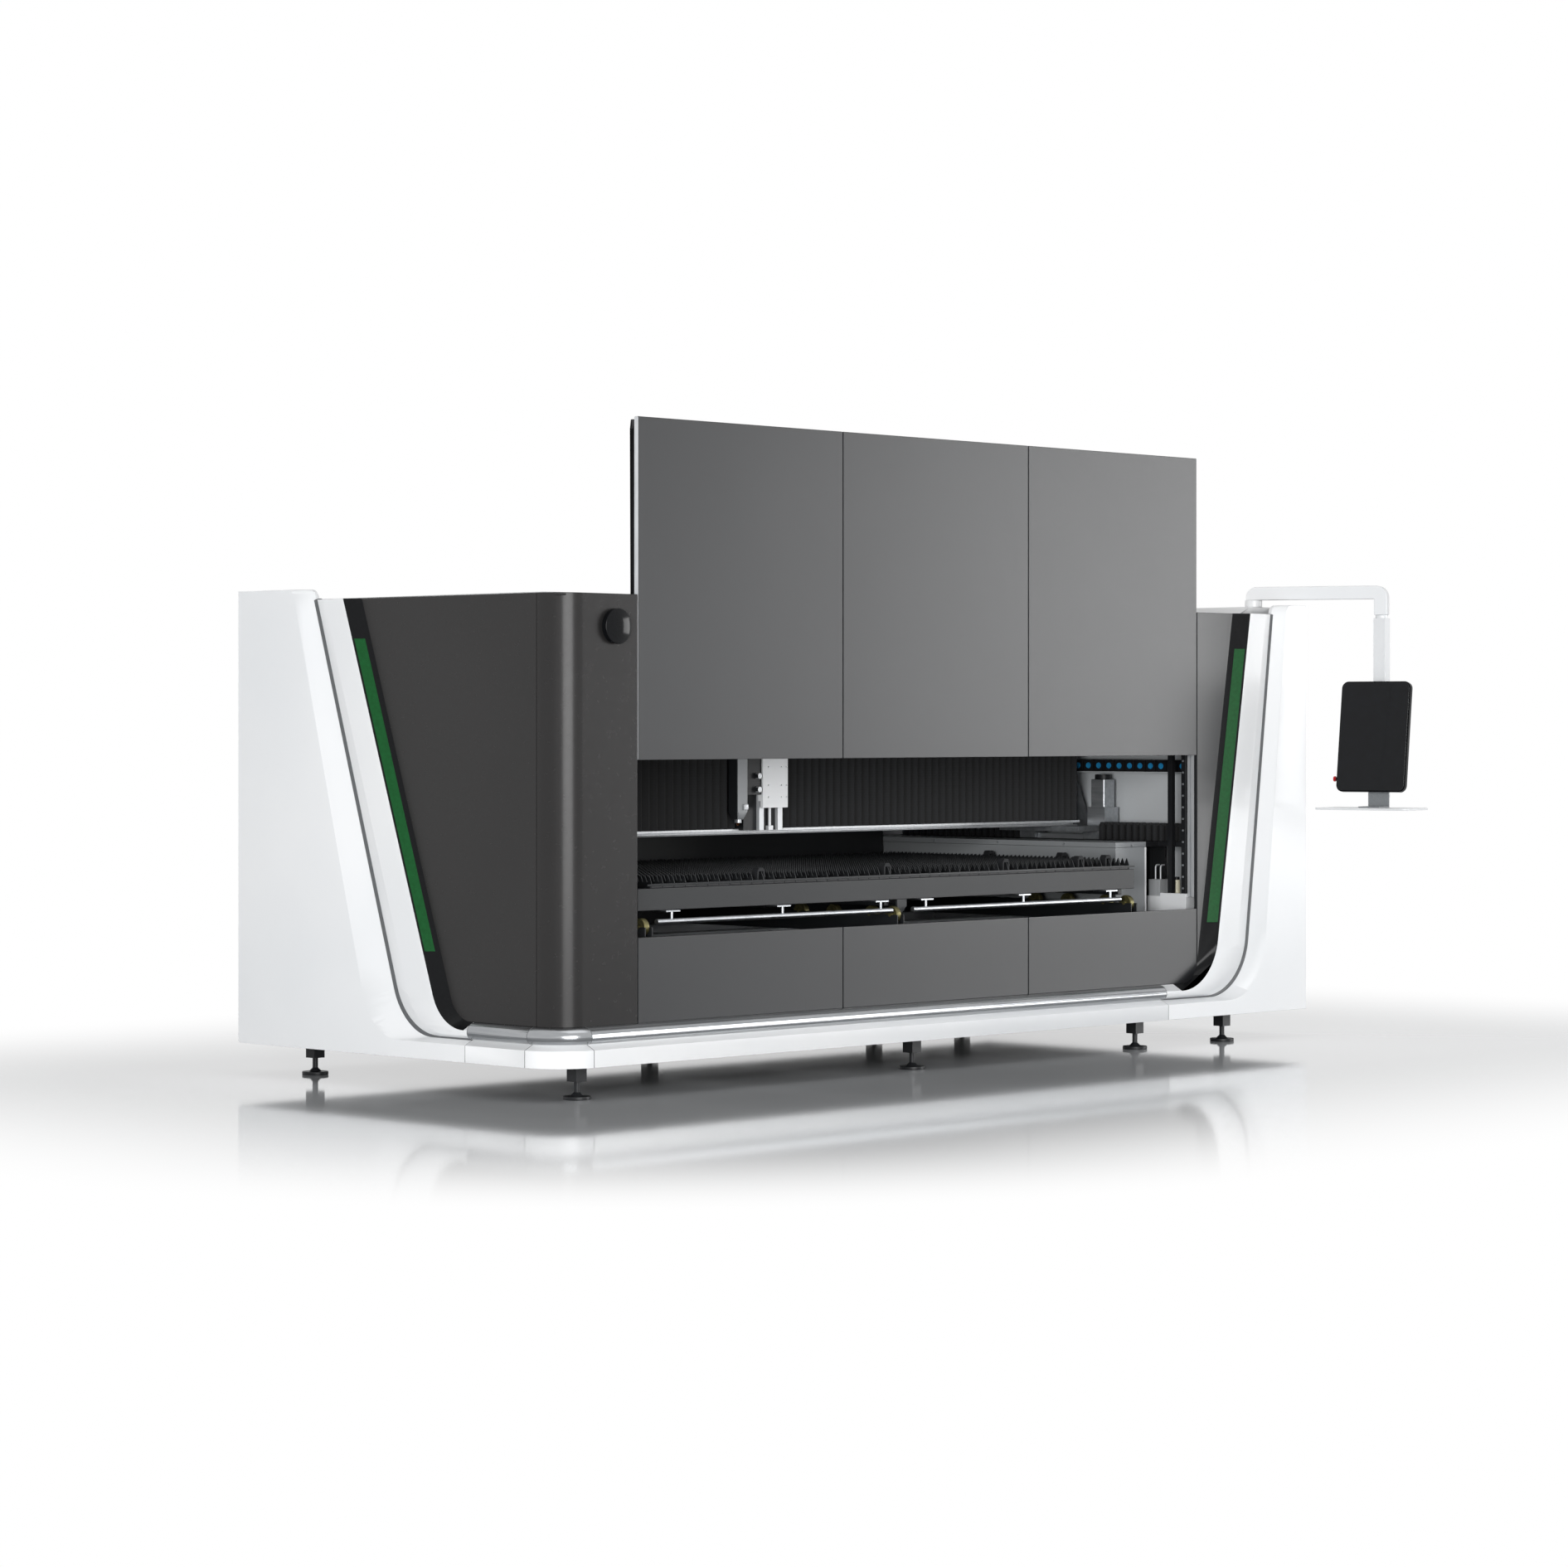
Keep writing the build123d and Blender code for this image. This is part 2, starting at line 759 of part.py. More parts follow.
def covers():
    """Roof, rear and right-hand covers, and the inner walls."""
    right = body_length - right_thickness
    rear = body_depth - rear_thickness
    roof = block(panel_thickness, right, roof_front, rear, panel_top, roof_top)
    roof -= block(panel_thickness + roof_wall, right - roof_wall, roof_front + roof_wall, rear - roof_wall,
                  panel_top - overrun, roof_top - roof_wall)
    width = right / rear_panel_count
    panels = []
    for index in range(rear_panel_count):
        start, end = index * width + panel_gap / 2, (index + 1) * width - panel_gap / 2
        panels.append(block(start, end, rear, body_depth, skirt_bottom, panel_top))
    side = block(right, body_length, 0, body_depth, skirt_bottom, roof_top)
    wall = block(chamber_wall_x, chamber_wall_x + chamber_wall_thickness, rear_post_y + post_size, rear,
                 frame_top, panel_top)
    chain_rear = chain_front + chain_links * chain_pitch
    wall += block(chain_x - chain_width / 2, chamber_wall_x, chain_front, chain_rear,
                  chain_bottom - chain_shelf_thickness, chain_bottom)
    inner = mirrored(table_middle + bed_side_inner)
    back = block(inner, mirrored(inner), rear_wall_y, rear_wall_y + rear_wall_thickness,
                 frame_top, rear_wall_top)
    return {
        "roof_cover": roof,
        "rear_panels": panels,
        "right_side_panel": side,
        "chamber_walls": [wall, back],
        "lower_panels": front_panels(panel_bottom, lower_panel_top, panel_thickness),
    }


def base():
    """Tube frame, foot sockets and levelling feet."""
    left, right = panel_thickness, body_length - right_thickness
    front, rear = panel_thickness, body_depth - rear_thickness
    tubes = []
    tubes.append(block(corner_radius, right, front, front + frame_tube, frame_bottom, frame_top))
    tubes.append(block(left, right, rear_rail_y, rear_rail_y + frame_tube, frame_bottom, frame_top))
    for share in cross_tube_shares:
        start = left + share * (right - left - frame_tube)
        near = front + frame_tube if start > left else corner_radius
        tubes.append(block(start, start + frame_tube, near, rear_rail_y, frame_bottom, frame_top))
        tubes.append(block(start, start + frame_tube, rear_rail_y + frame_tube, rear,
                           frame_bottom, frame_top))
    sockets, feet = [], []
    plate_bottom = frame_bottom - foot_plate_thickness
    tube_bottom = plate_bottom - foot_tube_length
    for share in foot_shares:
        for y in (front + frame_tube / 2, rear_rail_y + frame_tube / 2):
            x = left + frame_tube / 2 + share * (right - left)
            half, wide = foot_tube / 2, foot_plate / 2
            socket = block(x - wide, x + wide, y - wide, y + wide, plate_bottom, frame_bottom)
            socket += block(x - half, x + half, y - half, y + half, tube_bottom, plate_bottom)
            bore = foot_stem_radius + foot_bore_clearance
            socket -= upright(x, y, tube_bottom - overrun, plate_bottom, bore)
            sockets.append(socket)
            disc = upright(x, y, 0, foot_disc_height, foot_disc_radius)
            cone = Pos(x, y, foot_disc_height + foot_cone_height / 2) * Cone(
                foot_disc_radius / 2, foot_stem_radius, foot_cone_height)
            feet.append(disc + cone + upright(x, y, foot_disc_height, plate_bottom, foot_stem_radius))
    return {"base_frame": tubes + sockets, "levelling_feet": feet}


def bed():
    """Bed sides, flanges, rail beams, rails and cross beams."""
    inner, outer = table_middle + bed_side_inner, table_middle + bed_side_outer
    side = block(inner, outer, bed_side_front, rear_wall_y, frame_top, bed_side_top)
    side -= block(inner + bed_wall, outer - bed_wall, bed_side_front + bed_wall, rear_wall_y - bed_wall,
                  frame_top - overrun, bed_side_top - bed_wall)
    beam_inner, beam_outer = table_middle + rail_beam_inner, table_middle + rail_beam_outer
    flange = block(inner, beam_outer, bed_side_front, bed_rear, bed_side_top, flange_top)
    flange += block(beam_inner, beam_outer, rail_front, bed_side_front, bed_side_top, flange_top)
    beam = block(beam_inner, beam_outer, rail_beam_front, bed_rear, frame_top, bed_side_top)
    rail_left = table_middle + rail_offset - rail_width / 2
    rail = block(rail_left, rail_left + rail_width, rail_front, bed_rear, flange_top, rail_top)
    cross = []
    for y in cross_beam_rows:
        cross.append(block(mirrored(inner), inner, y, y + cross_beam_size,
                           cross_beam_top - cross_beam_size, cross_beam_top))
    return {
        "bed_sides": both_sides(side) + cross,
        "rail_beams": both_sides(beam) + both_sides(flange),
        "gantry_rails": both_sides(rail),
    }


def inner_units():
    """Scrap tray, control cabinet and laser source, which stand on the base frame."""
    left = mirrored(table_middle + bed_side_inner) + tray_inset
    right = mirrored(left)
    top = frame_top + tray_height
    tray_rear = body_depth - tray_rear_gap
    tray = block(left, right, tray_front, tray_rear, frame_top, top)
    tray -= block(left + tray_wall, right - tray_wall, tray_front + tray_wall, tray_rear - tray_wall,
                  frame_top + tray_wall, top + overrun)
    cabinet = block(cabinet_left, cabinet_right, cabinet_front, cabinet_rear, frame_top, cabinet_top)
    source_rear = body_depth - source_rear_gap
    source = block(cabinet_left, cabinet_right, source_front, source_rear, frame_top, source_top)
    return {
        "scrap_tray": tray,
        "control_cabinet": fillet(cabinet.edges().filter_by(Axis.Z), cabinet_edge),
        "laser_source": fillet(source.edges().filter_by(Axis.Z), cabinet_edge),
    }


def table():
    """Drawer table: frame with runners, spiked slats, combs, blocks, pull tubes, locator."""
    front_inner, rear_inner = table_front + table_tube, table_rear - table_tube
    tubes = [block(table_left, table_right, table_front, front_inner, table_bottom, table_top)]
    tubes.append(block(table_left, table_right, rear_inner, table_rear, table_bottom, table_top))
    spacing = (table_right - table_left - table_tube) / table_ribs
    for index in range(table_ribs + 1):
        start = table_left + index * spacing
        tubes.append(block(start, start + table_tube, front_inner, rear_inner, table_bottom, table_top))
    for x in track_x:
        start = max(x - runner_width / 2, table_left)
        tubes.append(block(start, start + runner_width, runner_front, table_rear,
                           runner_bottom, table_bottom))
    for y in (table_front, table_rear - comb_thickness):
        tubes.append(block(table_left + comb_inset, table_right - comb_inset / 2, y, y + comb_thickness,
                           table_top, comb_top))
    return {
        "table_frame": tubes,
        "table_slats": slats(),
        "sheet_blocks": sheet_blocks(),
        "table_handles": handles(),
        "table_locator": locator(),
    }


def slats():
    """Thin upright blades along y, their top edge cut into spikes."""
    start, end = table_front + comb_thickness, table_rear - comb_thickness
    pitch = (end - start) / slat_teeth
    outline = [(start, table_top), (start, slat_root)]
    for index in range(slat_teeth):
        middle = start + (index + 1 / 2) * pitch
        flat = slat_tip_share * pitch / 2
        outline += [(middle - flat, slat_tip), (middle + flat, slat_tip)]
        outline.append((start + (index + 1) * pitch, slat_root))
    outline.append((end, table_top))
    first = table_left + comb_inset + slat_thickness
    last = table_right - comb_inset / 2 - 2 * slat_thickness
    blade = side_prism(outline, 0, slat_thickness)
    gap = (last - first) / (slat_count - 1)
    return [Pos(first + index * gap, 0, 0) * blade for index in range(slat_count)]


def sheet_blocks():
    """Small hat-shaped blocks that straddle a slat and carry the sheet's edge."""
    first = table_left + comb_inset + slat_thickness
    last = table_right - comb_inset / 2 - 2 * slat_thickness
    gap = (last - first) / (slat_count - 1)
    half = sheet_block_width / 2
    leg = half - sheet_block_leg
    cap = sheet_block_top - sheet_block_cap
    outline = ((-half, table_top), (-leg, table_top), (-leg, cap), (leg, cap), (leg, table_top),
               (half, table_top), (half, cap), (leg, sheet_block_top), (-leg, sheet_block_top), (-half, cap))
    length = table_rear - table_front
    places = [(share, table_front + front_block_inset) for share in front_block_shares]
    places += [(1, table_front + share * length) for share in side_block_shares]
    blocks = []
    for share, y in places:
        slat = round(share * (slat_count - 1))
        middle = first + slat * gap + slat_thickness / 2
        blocks.append(front_prism([(middle + x, z) for x, z in outline], y, y + sheet_block_depth))
    return blocks


def handles():
    """Two pull tubes, each hung from the front beam on three saddle brackets."""
    pieces = []
    for start, end in (handle_left_span, handle_right_span):
        tube = crossbar(start, end, handle_y, handle_height, handle_radius)
        pieces.append(tube)
        for share in bracket_shares:
            x = start + share * (end - start)
            half = bracket_plate / 2
            plate_low = table_bottom - bracket_plate_thickness
            bracket = block(x - half, x + half, handle_y - handle_radius, table_front + bracket_plate_depth,
                            plate_low, table_bottom)
            bracket += upright(x, handle_y, handle_height, table_bottom, bracket_post_radius)
            pieces.append(bracket - tube)
    return pieces


def locator():
    """Pointed plate under the front beam that centres the table when it is home."""
    locator_left, locator_right = table_middle - locator_left_reach, table_middle + locator_right_reach
    middle = (locator_left + locator_right) / 2
    points = ((locator_left, table_bottom), (locator_right, table_bottom), (locator_right, locator_shoulder),
              (middle, locator_tip), (locator_left, locator_shoulder))
    return front_prism(points, table_front, table_front + locator_thickness)


def roller_track(x):
    """U channel on the cross beams with a pair of bores for each spindle."""
    half = roller_width / 2 + track_clear
    outer = half + track_wall
    points = ((x - outer, cross_beam_top), (x + outer, cross_beam_top), (x + outer, track_wall_top),
              (x + half, track_wall_top), (x + half, cross_beam_top + track_wall),
              (x - half, cross_beam_top + track_wall), (x - half, track_wall_top),
              (x - outer, track_wall_top))
    track = front_prism(points, track_front, body_depth - track_rear_gap)
    for y in roller_rows:
        bore = spindle_radius + spindle_clearance
        track -= crossbar(x - outer - overrun, x + outer + overrun, y, roller_height, bore)
    return track


def roller(x, y):
    """Crowned roller on its own spindle."""
    half = roller_width / 2
    reach = half + track_clear + track_wall
    edge = roller_radius - roller_crown / 2
    profile = Polyline((-reach, 0), (-reach, spindle_radius), (-half, spindle_radius), (-half, edge),
                       (-half + roller_crown, roller_radius), (half - roller_crown, roller_radius),
                       (half, edge), (half, spindle_radius), (reach, spindle_radius), (reach, 0), close=True)
    return Pos(x, y, roller_height) * revolve(make_face(profile), Axis.X)


def rollers():
    """Rollers that share an axis line turn together."""
    nodes = {"roller_tracks": [roller_track(x) for x in track_x]}
    for index, y in enumerate(roller_rows):
        nodes[f"rollers_{index + 1}"] = [roller(x, y) for x in track_x]
    return nodes


def pleats(start, end, pitch, crest, root):
    """A zigzag from start to end, with its crests and roots at two depths."""
    count = max(2, round((end - start) / pitch))
    step = (end - start) / count
    points = []
    for index in range(count):
        points += [(start + index * step, root), (start + (index + 1 / 2) * step, crest)]
    return points + [(end, root)]


def gantry():
    """Beam on two end carriages, with gussets and drive motors."""
    outline = ((beam_rear, beam_top), (beam_front, beam_top), (beam_front, lip_bottom + lip_thickness),
               (lip_front, lip_bottom + lip_thickness), (lip_front, lip_bottom), (beam_front, lip_bottom),
               (beam_front, beam_bottom + low_lip_thickness),
               (low_lip_front, beam_bottom + low_lip_thickness),
               (low_lip_front, beam_bottom), (beam_rear, beam_bottom))
    beam = side_prism(outline, beam_left, beam_right)
    beam -= block(beam_left - overrun, beam_right + overrun, beam_front + beam_wall, beam_rear - beam_wall,
                  lip_bottom + lip_thickness, beam_top - beam_wall)
    right_bellows = beam_bellows(head_carriage_right, beam_right)
    left_bellows = beam_bellows(beam_left, head_carriage_left)
    return {
        "gantry_beam": beam,
        "end_carriages": both_sides(end_carriage()),
        "drive_motors": both_sides(drive_motor()),
        "beam_bellows_left": left_bellows,
        "beam_bellows_right": right_bellows,
    }


def beam_bellows(start, end):
    """Pleated cover on the front of the beam."""
    outline = pleats(start, end, beam_pleat, lip_front, lip_front + pleat_depth)
    face = make_face(Polyline(*outline, (end, beam_front), (start, beam_front), close=True))
    return Pos(0, 0, lip_bottom + lip_thickness) * extrude(face, beam_top - lip_bottom - lip_thickness)


def end_carriage():
    """Plate on two guide blocks, with an end plate and gusset that hold the beam."""
    rail = table_middle + rail_offset
    inner, outer = rail - carriage_inner_reach, rail + carriage_outer_reach
    low = beam_bottom - carriage_thickness
    carriage = block(inner, outer, carriage_front, carriage_rear, low, beam_bottom)
    for y in (carriage_front, carriage_rear - block_length):
        guide = block(rail - block_width / 2, rail + block_width / 2, y, y + block_length,
                      flange_top + 2 * slide_gap, low)
        guide -= block(rail - rail_width / 2 - slide_gap, rail + rail_width / 2 + slide_gap, y - overrun,
                       y + block_length + overrun, flange_top, rail_top + slide_gap)
        carriage += guide
    carriage += block(beam_right, beam_right + end_plate, beam_front, beam_rear, beam_bottom, beam_top)
    start = beam_right + end_plate
    points = ((start, beam_bottom), (start + gusset_reach, beam_bottom), (start, beam_bottom + gusset_height))
    for y in (beam_front, beam_rear - gusset_thickness):
        carriage += front_prism(points, y, y + gusset_thickness)
    return carriage


def drive_motor():
    """Reducer, motor and its cap, stood on the carriage beside the beam's end."""
    x = table_middle + rail_offset + motor_from_rail
    middle = motor_front + gear_depth / 2
    base_top = beam_bottom + gear_height
    unit = block(x - gear_width / 2, x + gear_width / 2, motor_front, motor_front + gear_depth,
                 beam_bottom, base_top)
    half = motor_width / 2
    body = block(x - half, x + half, middle - half, middle + half, base_top, base_top + motor_height)
    unit += fillet(body.edges().filter_by(Axis.Z), half * motor_rounding_share)
    motor_top = base_top + motor_height
    return unit + upright(x, middle, motor_top, motor_top + motor_cap, half * motor_cap_share)


def rail_bellows(start, end):
    """Cover over a rail, pleated on its roof and both sides."""
    middle = table_middle + rail_offset
    sections = []
    for y, depth in pleats(start, end, rail_pleat, 0, rail_pleat_depth):
        half = rail_bellows_width / 2 - depth
        top = flange_top + rail_bellows_height - depth
        corners = ((middle - half, flange_top), (middle + half, flange_top),
                   (middle + half, top), (middle - half, top))
        sections.append(Plane.XZ.offset(-y) * make_face(Polyline(*corners, close=True)))
    slot = rail_bellows_slot / 2
    return loft(sections, ruled=True) - block(
        middle - slot, middle + slot, start - overrun, end + overrun,
        flange_top - overrun, flange_top + rail_bellows_roof)


def cable_chain():
    """Row of hollow chain links with round pin caps."""
    links = []
    half = chain_width / 2
    for index in range(chain_links):
        start = chain_front + index * chain_pitch
        end = start + chain_pitch - chain_link_gap
        link = block(chain_x - half, chain_x + half, start, end, chain_bottom, chain_bottom + chain_height)
        link -= block(chain_x - half + chain_link_wall, chain_x + half - chain_link_wall,
                      start - overrun, end + overrun,
                      chain_bottom + chain_link_wall, chain_bottom + chain_height - chain_link_wall)
        middle = (start + end) / 2
        cap = crossbar(chain_x - half - chain_disc_thickness, chain_x - half, middle,
                       chain_bottom + chain_height / 2, chain_disc_radius)
        links.append(link + cap)
    return {"cable_chain": links}


def lubricator():
    """Pump box with two bent pipes on the stand's step, and a capped reservoir on the stand."""
    left = stand_left + pump_inset
    front = stand_rear - stand_step_depth + pump_inset
    rear = stand_rear - pump_inset
    pump = block(left, left + pump_width, front, rear, stand_step_top, pump_top)
    middle = left + pump_width / 2
    for share in pipe_shares:
        y = front + share * (rear - front)
        route = FilletPolyline((middle, y, pump_top), (middle, y, pump_top + pipe_height),
                               (middle + 2 * pipe_bend, y, pump_top + pipe_height), radius=pipe_bend)
        pump += sweep(Plane((middle, y, pump_top)) * Circle(pipe_radius), path=route)
    x = stand_left + reservoir_inset
    top = stand_top + reservoir_height
    pot = upright(x, reservoir_y, stand_top, top, reservoir_radius)
    pot += upright(x, reservoir_y, top, top + reservoir_cap_height, reservoir_radius * reservoir_cap_share)
    return {"lubricator": [pump, pot]}


def head_carriage():
    """Plate that runs along the beam, hooked over its top, with two lift rails and a screw."""
    back = lip_front - slide_gap
    left, right = head_carriage_left, head_carriage_right
    plate = block(left, right, head_carriage_front, back, head_carriage_bottom, head_carriage_top)
    lip_top = lip_bottom + lip_thickness
    plate += block(left, right, back, beam_front - slide_gap, lip_top + slide_gap, head_carriage_top)
    plate += block(left, right, back, beam_rear - beam_wall, beam_top + slide_gap, head_carriage_top)
    front = head_carriage_front - lift_rail_depth
    for start in (left + lift_rail_inset, left + lift_rail_inset + lift_rail_spacing):
        plate += block(start, start + lift_rail_width, front, head_carriage_front,
                       head_carriage_bottom, head_carriage_top)
    x = left + lift_rail_inset + (lift_rail_spacing + lift_rail_width) / 2
    y = head_carriage_front - lift_rail_depth / 2
    plate += upright(x, y, head_carriage_bottom, head_carriage_top, lift_screw_radius)
    for bottom in (head_carriage_bottom, head_carriage_top - lift_bearing_height):
        plate += block(x - lift_rail_width / 2, x + lift_rail_width / 2, front, head_carriage_front,
                       bottom, bottom + lift_bearing_height)
    return {"head_carriage": plate}


def lift_plate():
    """White plate with bolt holes, carried on guide blocks."""
    front, back = lift_plate_front, lift_plate_back
    right = lift_plate_left + lift_plate_width
    middle = front + lift_plate_thickness
    plate = block(lift_plate_left, right, front, middle, lift_plate_bottom, lift_plate_top)
    low = lift_plate_bottom + lift_block_inset
    high = lift_plate_top - lift_block_inset - lift_block_height
    for bottom in (low, high):
        plate += block(lift_plate_left, right, middle, back, bottom, bottom + lift_block_height)
    height = lift_plate_top - lift_plate_bottom
    for row in lift_hole_row_shares:
        for column in lift_hole_column_shares:
            x = lift_plate_left + column * lift_plate_width
            z = lift_plate_bottom + row * height
            plate -= Pos(x, front, z) * Rot(90, 0, 0) * Cylinder(lift_hole_radius, lift_plate_thickness)
    return plate


def cutting_head():
    """Tall housing that tapers to the nozzle seat, its bracket and two connectors."""
    half, deep = head_width / 2, head_depth / 2
    body = block(head_x - half, head_x + half, head_y - deep, head_y + deep, head_shoulder, head_top)
    body = fillet(body.edges().filter_by(Axis.Z), head_edge)
    top = Pos(head_x, head_y, head_shoulder) * RectangleRounded(head_width, head_depth, head_edge)
    low = Pos(head_x, head_y, head_bottom) * RectangleRounded(
        head_width * head_taper_share, head_depth * head_taper_share, head_edge * head_taper_share)
    body += loft([low, top], ruled=True)
    arm_front = lift_plate_front + head_edge
    arm = block(head_x, lift_plate_left, arm_front, lift_plate_back, head_bracket_bottom, head_bracket_top)
    pieces = body + arm
    for share in connector_shares:
        z = head_bracket_bottom + share * (head_bracket_top - head_bracket_bottom)
        knob = Rot(90, 0, 0) * Cylinder(connector_radius, connector_length)
        pieces += Pos(lift_plate_left - connector_inset, arm_front, z) * knob
    return pieces


def nozzle():
    """Silver seat ring and copper tip with a gas bore."""
    ring_top = head_bottom
    ring_bottom = ring_top - nozzle_ring_height
    profile = Polyline((nozzle_bore_radius, nozzle_bottom), (nozzle_tip_radius, nozzle_bottom),
                       (nozzle_ring_radius * head_taper_share, ring_bottom),
                       (nozzle_ring_radius, ring_bottom),
                       (nozzle_ring_radius, ring_top), (nozzle_bore_radius, ring_top), close=True)
    return Pos(head_x, head_y, 0) * revolve(Plane.XZ * make_face(profile), Axis.Z)


def head():
    """Lift plate, cutting head and nozzle."""
    return {"lift_plate": lift_plate(), "cutting_head": cutting_head(), "nozzle": nozzle()}


def drop_axis():
    """Where the drop tube hangs, in plan."""
    turn = radians(arm_direction)
    return neck_x + arm_length * cos(turn), neck_y + arm_length * sin(turn)


def console_arm():
    """Square tube from the neck to the drop tube, with rounded elbows."""
    low = roof_top + neck_height + swivel_gap
    half = arm_size / 2
    reach = arm_length + half
    top = low + arm_size
    outline = FilletPolyline((-half, low), (-half, top), (reach, top), (reach, low - arm_drop),
                             (reach - arm_size, low - arm_drop), (reach - arm_size, low),
                             radius=(arm_rounding, arm_rounding, 0, 0))
    face = make_face([*outline.edges(), *Line((reach - arm_size, low), (-half, low)).edges()])
    arm = extrude(Plane.XZ.offset(-half) * face, arm_size)
    return Pos(neck_x, neck_y, 0) * Rot(0, 0, arm_direction) * arm


def console_frame():
    """Plane of the console: x towards the operator, y along the screen's width."""
    x, y = drop_axis()
    turn = radians(screen_direction)
    return Plane((x, y, 0), x_dir=(cos(turn), sin(turn), 0), z_dir=(0, 0, 1))


def drop():
    """Drop tube with its round swivel collar and hinge lugs, and the hooked bracket with its shelf."""
    half = drop_tube / 2
    top = roof_top + neck_height - arm_drop
    tube = block(-half, half, -half, half, drop_bottom, top - swivel_collar)
    tube += upright(0, 0, top - swivel_collar, top, half)
    reach = knuckle_width / 2
    for side in (-1, 1):
        inner = side * (reach + hinge_clearance)
        outer = inner + side * lug_thickness
        low, high = min(inner, outer), max(inner, outer)
        tube += block(0, screen_pivot, low, high, screen_middle - lug_radius, screen_middle + lug_radius)
        lug = Rot(90, 0, 0) * Cylinder(lug_radius, lug_thickness)
        tube += Pos(screen_pivot, (low + high) / 2, screen_middle) * lug
    tube += block(0, half, -reach - lug_thickness, reach + lug_thickness,
                  screen_middle - lug_radius, screen_middle + lug_radius)
    tube += Pos(screen_pivot, 0, screen_middle) * Rot(90, 0, 0) * Cylinder(
        hinge_radius, 2 * (reach + lug_thickness + hinge_clearance))
    shelf_top = shelf_height + shelf_thickness
    wide = hook_width / 2
    hook = block(half, half + hook_thickness, -wide, wide, shelf_top, hook_top)
    hook += block(half, half + hook_foot, -wide, wide, shelf_top, shelf_top + hook_thickness)
    shelf = block(-shelf_rear, shelf_front, -shelf_width / 2, shelf_width / 2, shelf_height, shelf_top)
    shelf = fillet(shelf.edges().filter_by(Axis.Z), shelf_rounding)
    frame = console_frame()
    return {"drop_tube": frame * tube, "console_shelf": [frame * hook, frame * shelf]}


def screen():
    """Monitor housing with its hinge knuckle, glass front, stop collar and stop button."""
    low, high = screen_middle - screen_height / 2, screen_middle + screen_height / 2
    half = screen_width / 2
    back, face = screen_face - screen_depth, screen_face
    shell = block(back, face - screen_glass, -half, half, low, high)
    shell = fillet(shell.edges().filter_by(Axis.X), screen_rounding)
    reach = knuckle_width / 2
    shell += block(screen_pivot, back, -reach, reach, screen_middle - lug_radius, screen_middle + lug_radius)
    shell += Pos(screen_pivot, 0, screen_middle) * Rot(90, 0, 0) * Cylinder(lug_radius, knuckle_width)
    shell -= Pos(screen_pivot, 0, screen_middle) * Rot(90, 0, 0) * Cylinder(
        hinge_radius + hinge_clearance, knuckle_width + overrun)
    inset = screen_glass_inset
    glass = block(face - screen_glass, face, -half + inset, half - inset, low + inset, high - inset)
    glass = fillet(glass.edges().filter_by(Axis.X), screen_rounding - inset)
    middle = (back + face - screen_glass) / 2
    collar = Pos(middle, -half - stop_collar_height / 2, stop_height) * Rot(90, 0, 0) * Cylinder(
        stop_collar_radius, stop_collar_height)
    shell += collar
    depth = stop_reach - stop_cap
    shell -= Pos(middle, -half, stop_height) * Rot(90, 0, 0) * Cylinder(
        stop_stem_radius + stop_clearance, 2 * depth + stop_travel)
    cap_start = -half - stop_reach
    cap = Rot(90, 0, 0) * Cylinder(stop_radius, stop_cap)
    button = Pos(middle, cap_start + stop_cap / 2, stop_height) * cap
    stem_length = stop_reach - stop_cap + stop_travel
    button += Pos(middle, cap_start + stop_cap + stem_length / 2, stop_height) * Rot(90, 0, 0) * Cylinder(
        stop_stem_radius, stem_length)
    frame = console_frame()
    hinge = Pos(screen_pivot, 0, screen_middle)
    lean = hinge * Rot(0, -screen_tilt, 0) * hinge.inverse()
    return {
        "monitor_housing": frame * (lean * shell),
        "monitor_glass": frame * (lean * glass),
        "stop_button": frame * (lean * button),
    }


def console():
    """Neck, arm, drop tube with shelf, and monitor."""
    neck = upright(neck_x, neck_y, roof_top, roof_top + neck_height, neck_radius)
    return {"console_neck": neck, "console_arm": console_arm(), **drop(), **screen()}


def covers_on_rails():
    """Pleated rail covers in front of and behind the carriages."""
    return {
        "front_rail_bellows": both_sides(rail_bellows(rail_front, carriage_front)),
        "rear_rail_bellows": both_sides(rail_bellows(carriage_rear, bed_rear)),
    }


def build_nodes():
    """Every named piece, as a list of solids, in the enclosure's own frame."""
    groups = (enclosure, covers, door, door_guides, base, bed, inner_units, table, rollers, gantry,
              covers_on_rails, cable_chain, lubricator, head_carriage, head, console)
    nodes = {}
    for group in groups:
        for name, piece in group().items():
            pieces = piece if isinstance(piece, list) else [piece]
            nodes[name] = [solid for each in pieces for solid in each.solids()]
    return nodes


def floor_centre(nodes):
    """Middle of the whole machine on the floor."""
    box = Compound([solid for solids in nodes.values() for solid in solids]).bounding_box()
    return (box.min.X + box.max.X) / 2, (box.min.Y + box.max.Y) / 2


def main():
    os.makedirs("parts", exist_ok=True)
    nodes = build_nodes()
    x, y = floor_centre(nodes)
    for name, solids in nodes.items():
        moved = [Pos(-x, -y, 0) * solid for solid in solids]
        export_step(Compound(moved) if len(moved) > 1 else moved[0], f"parts/{name}.step")


if __name__ == "__main__":
    main()
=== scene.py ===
import json
import math

import bpy
from mathutils import Matrix, Vector

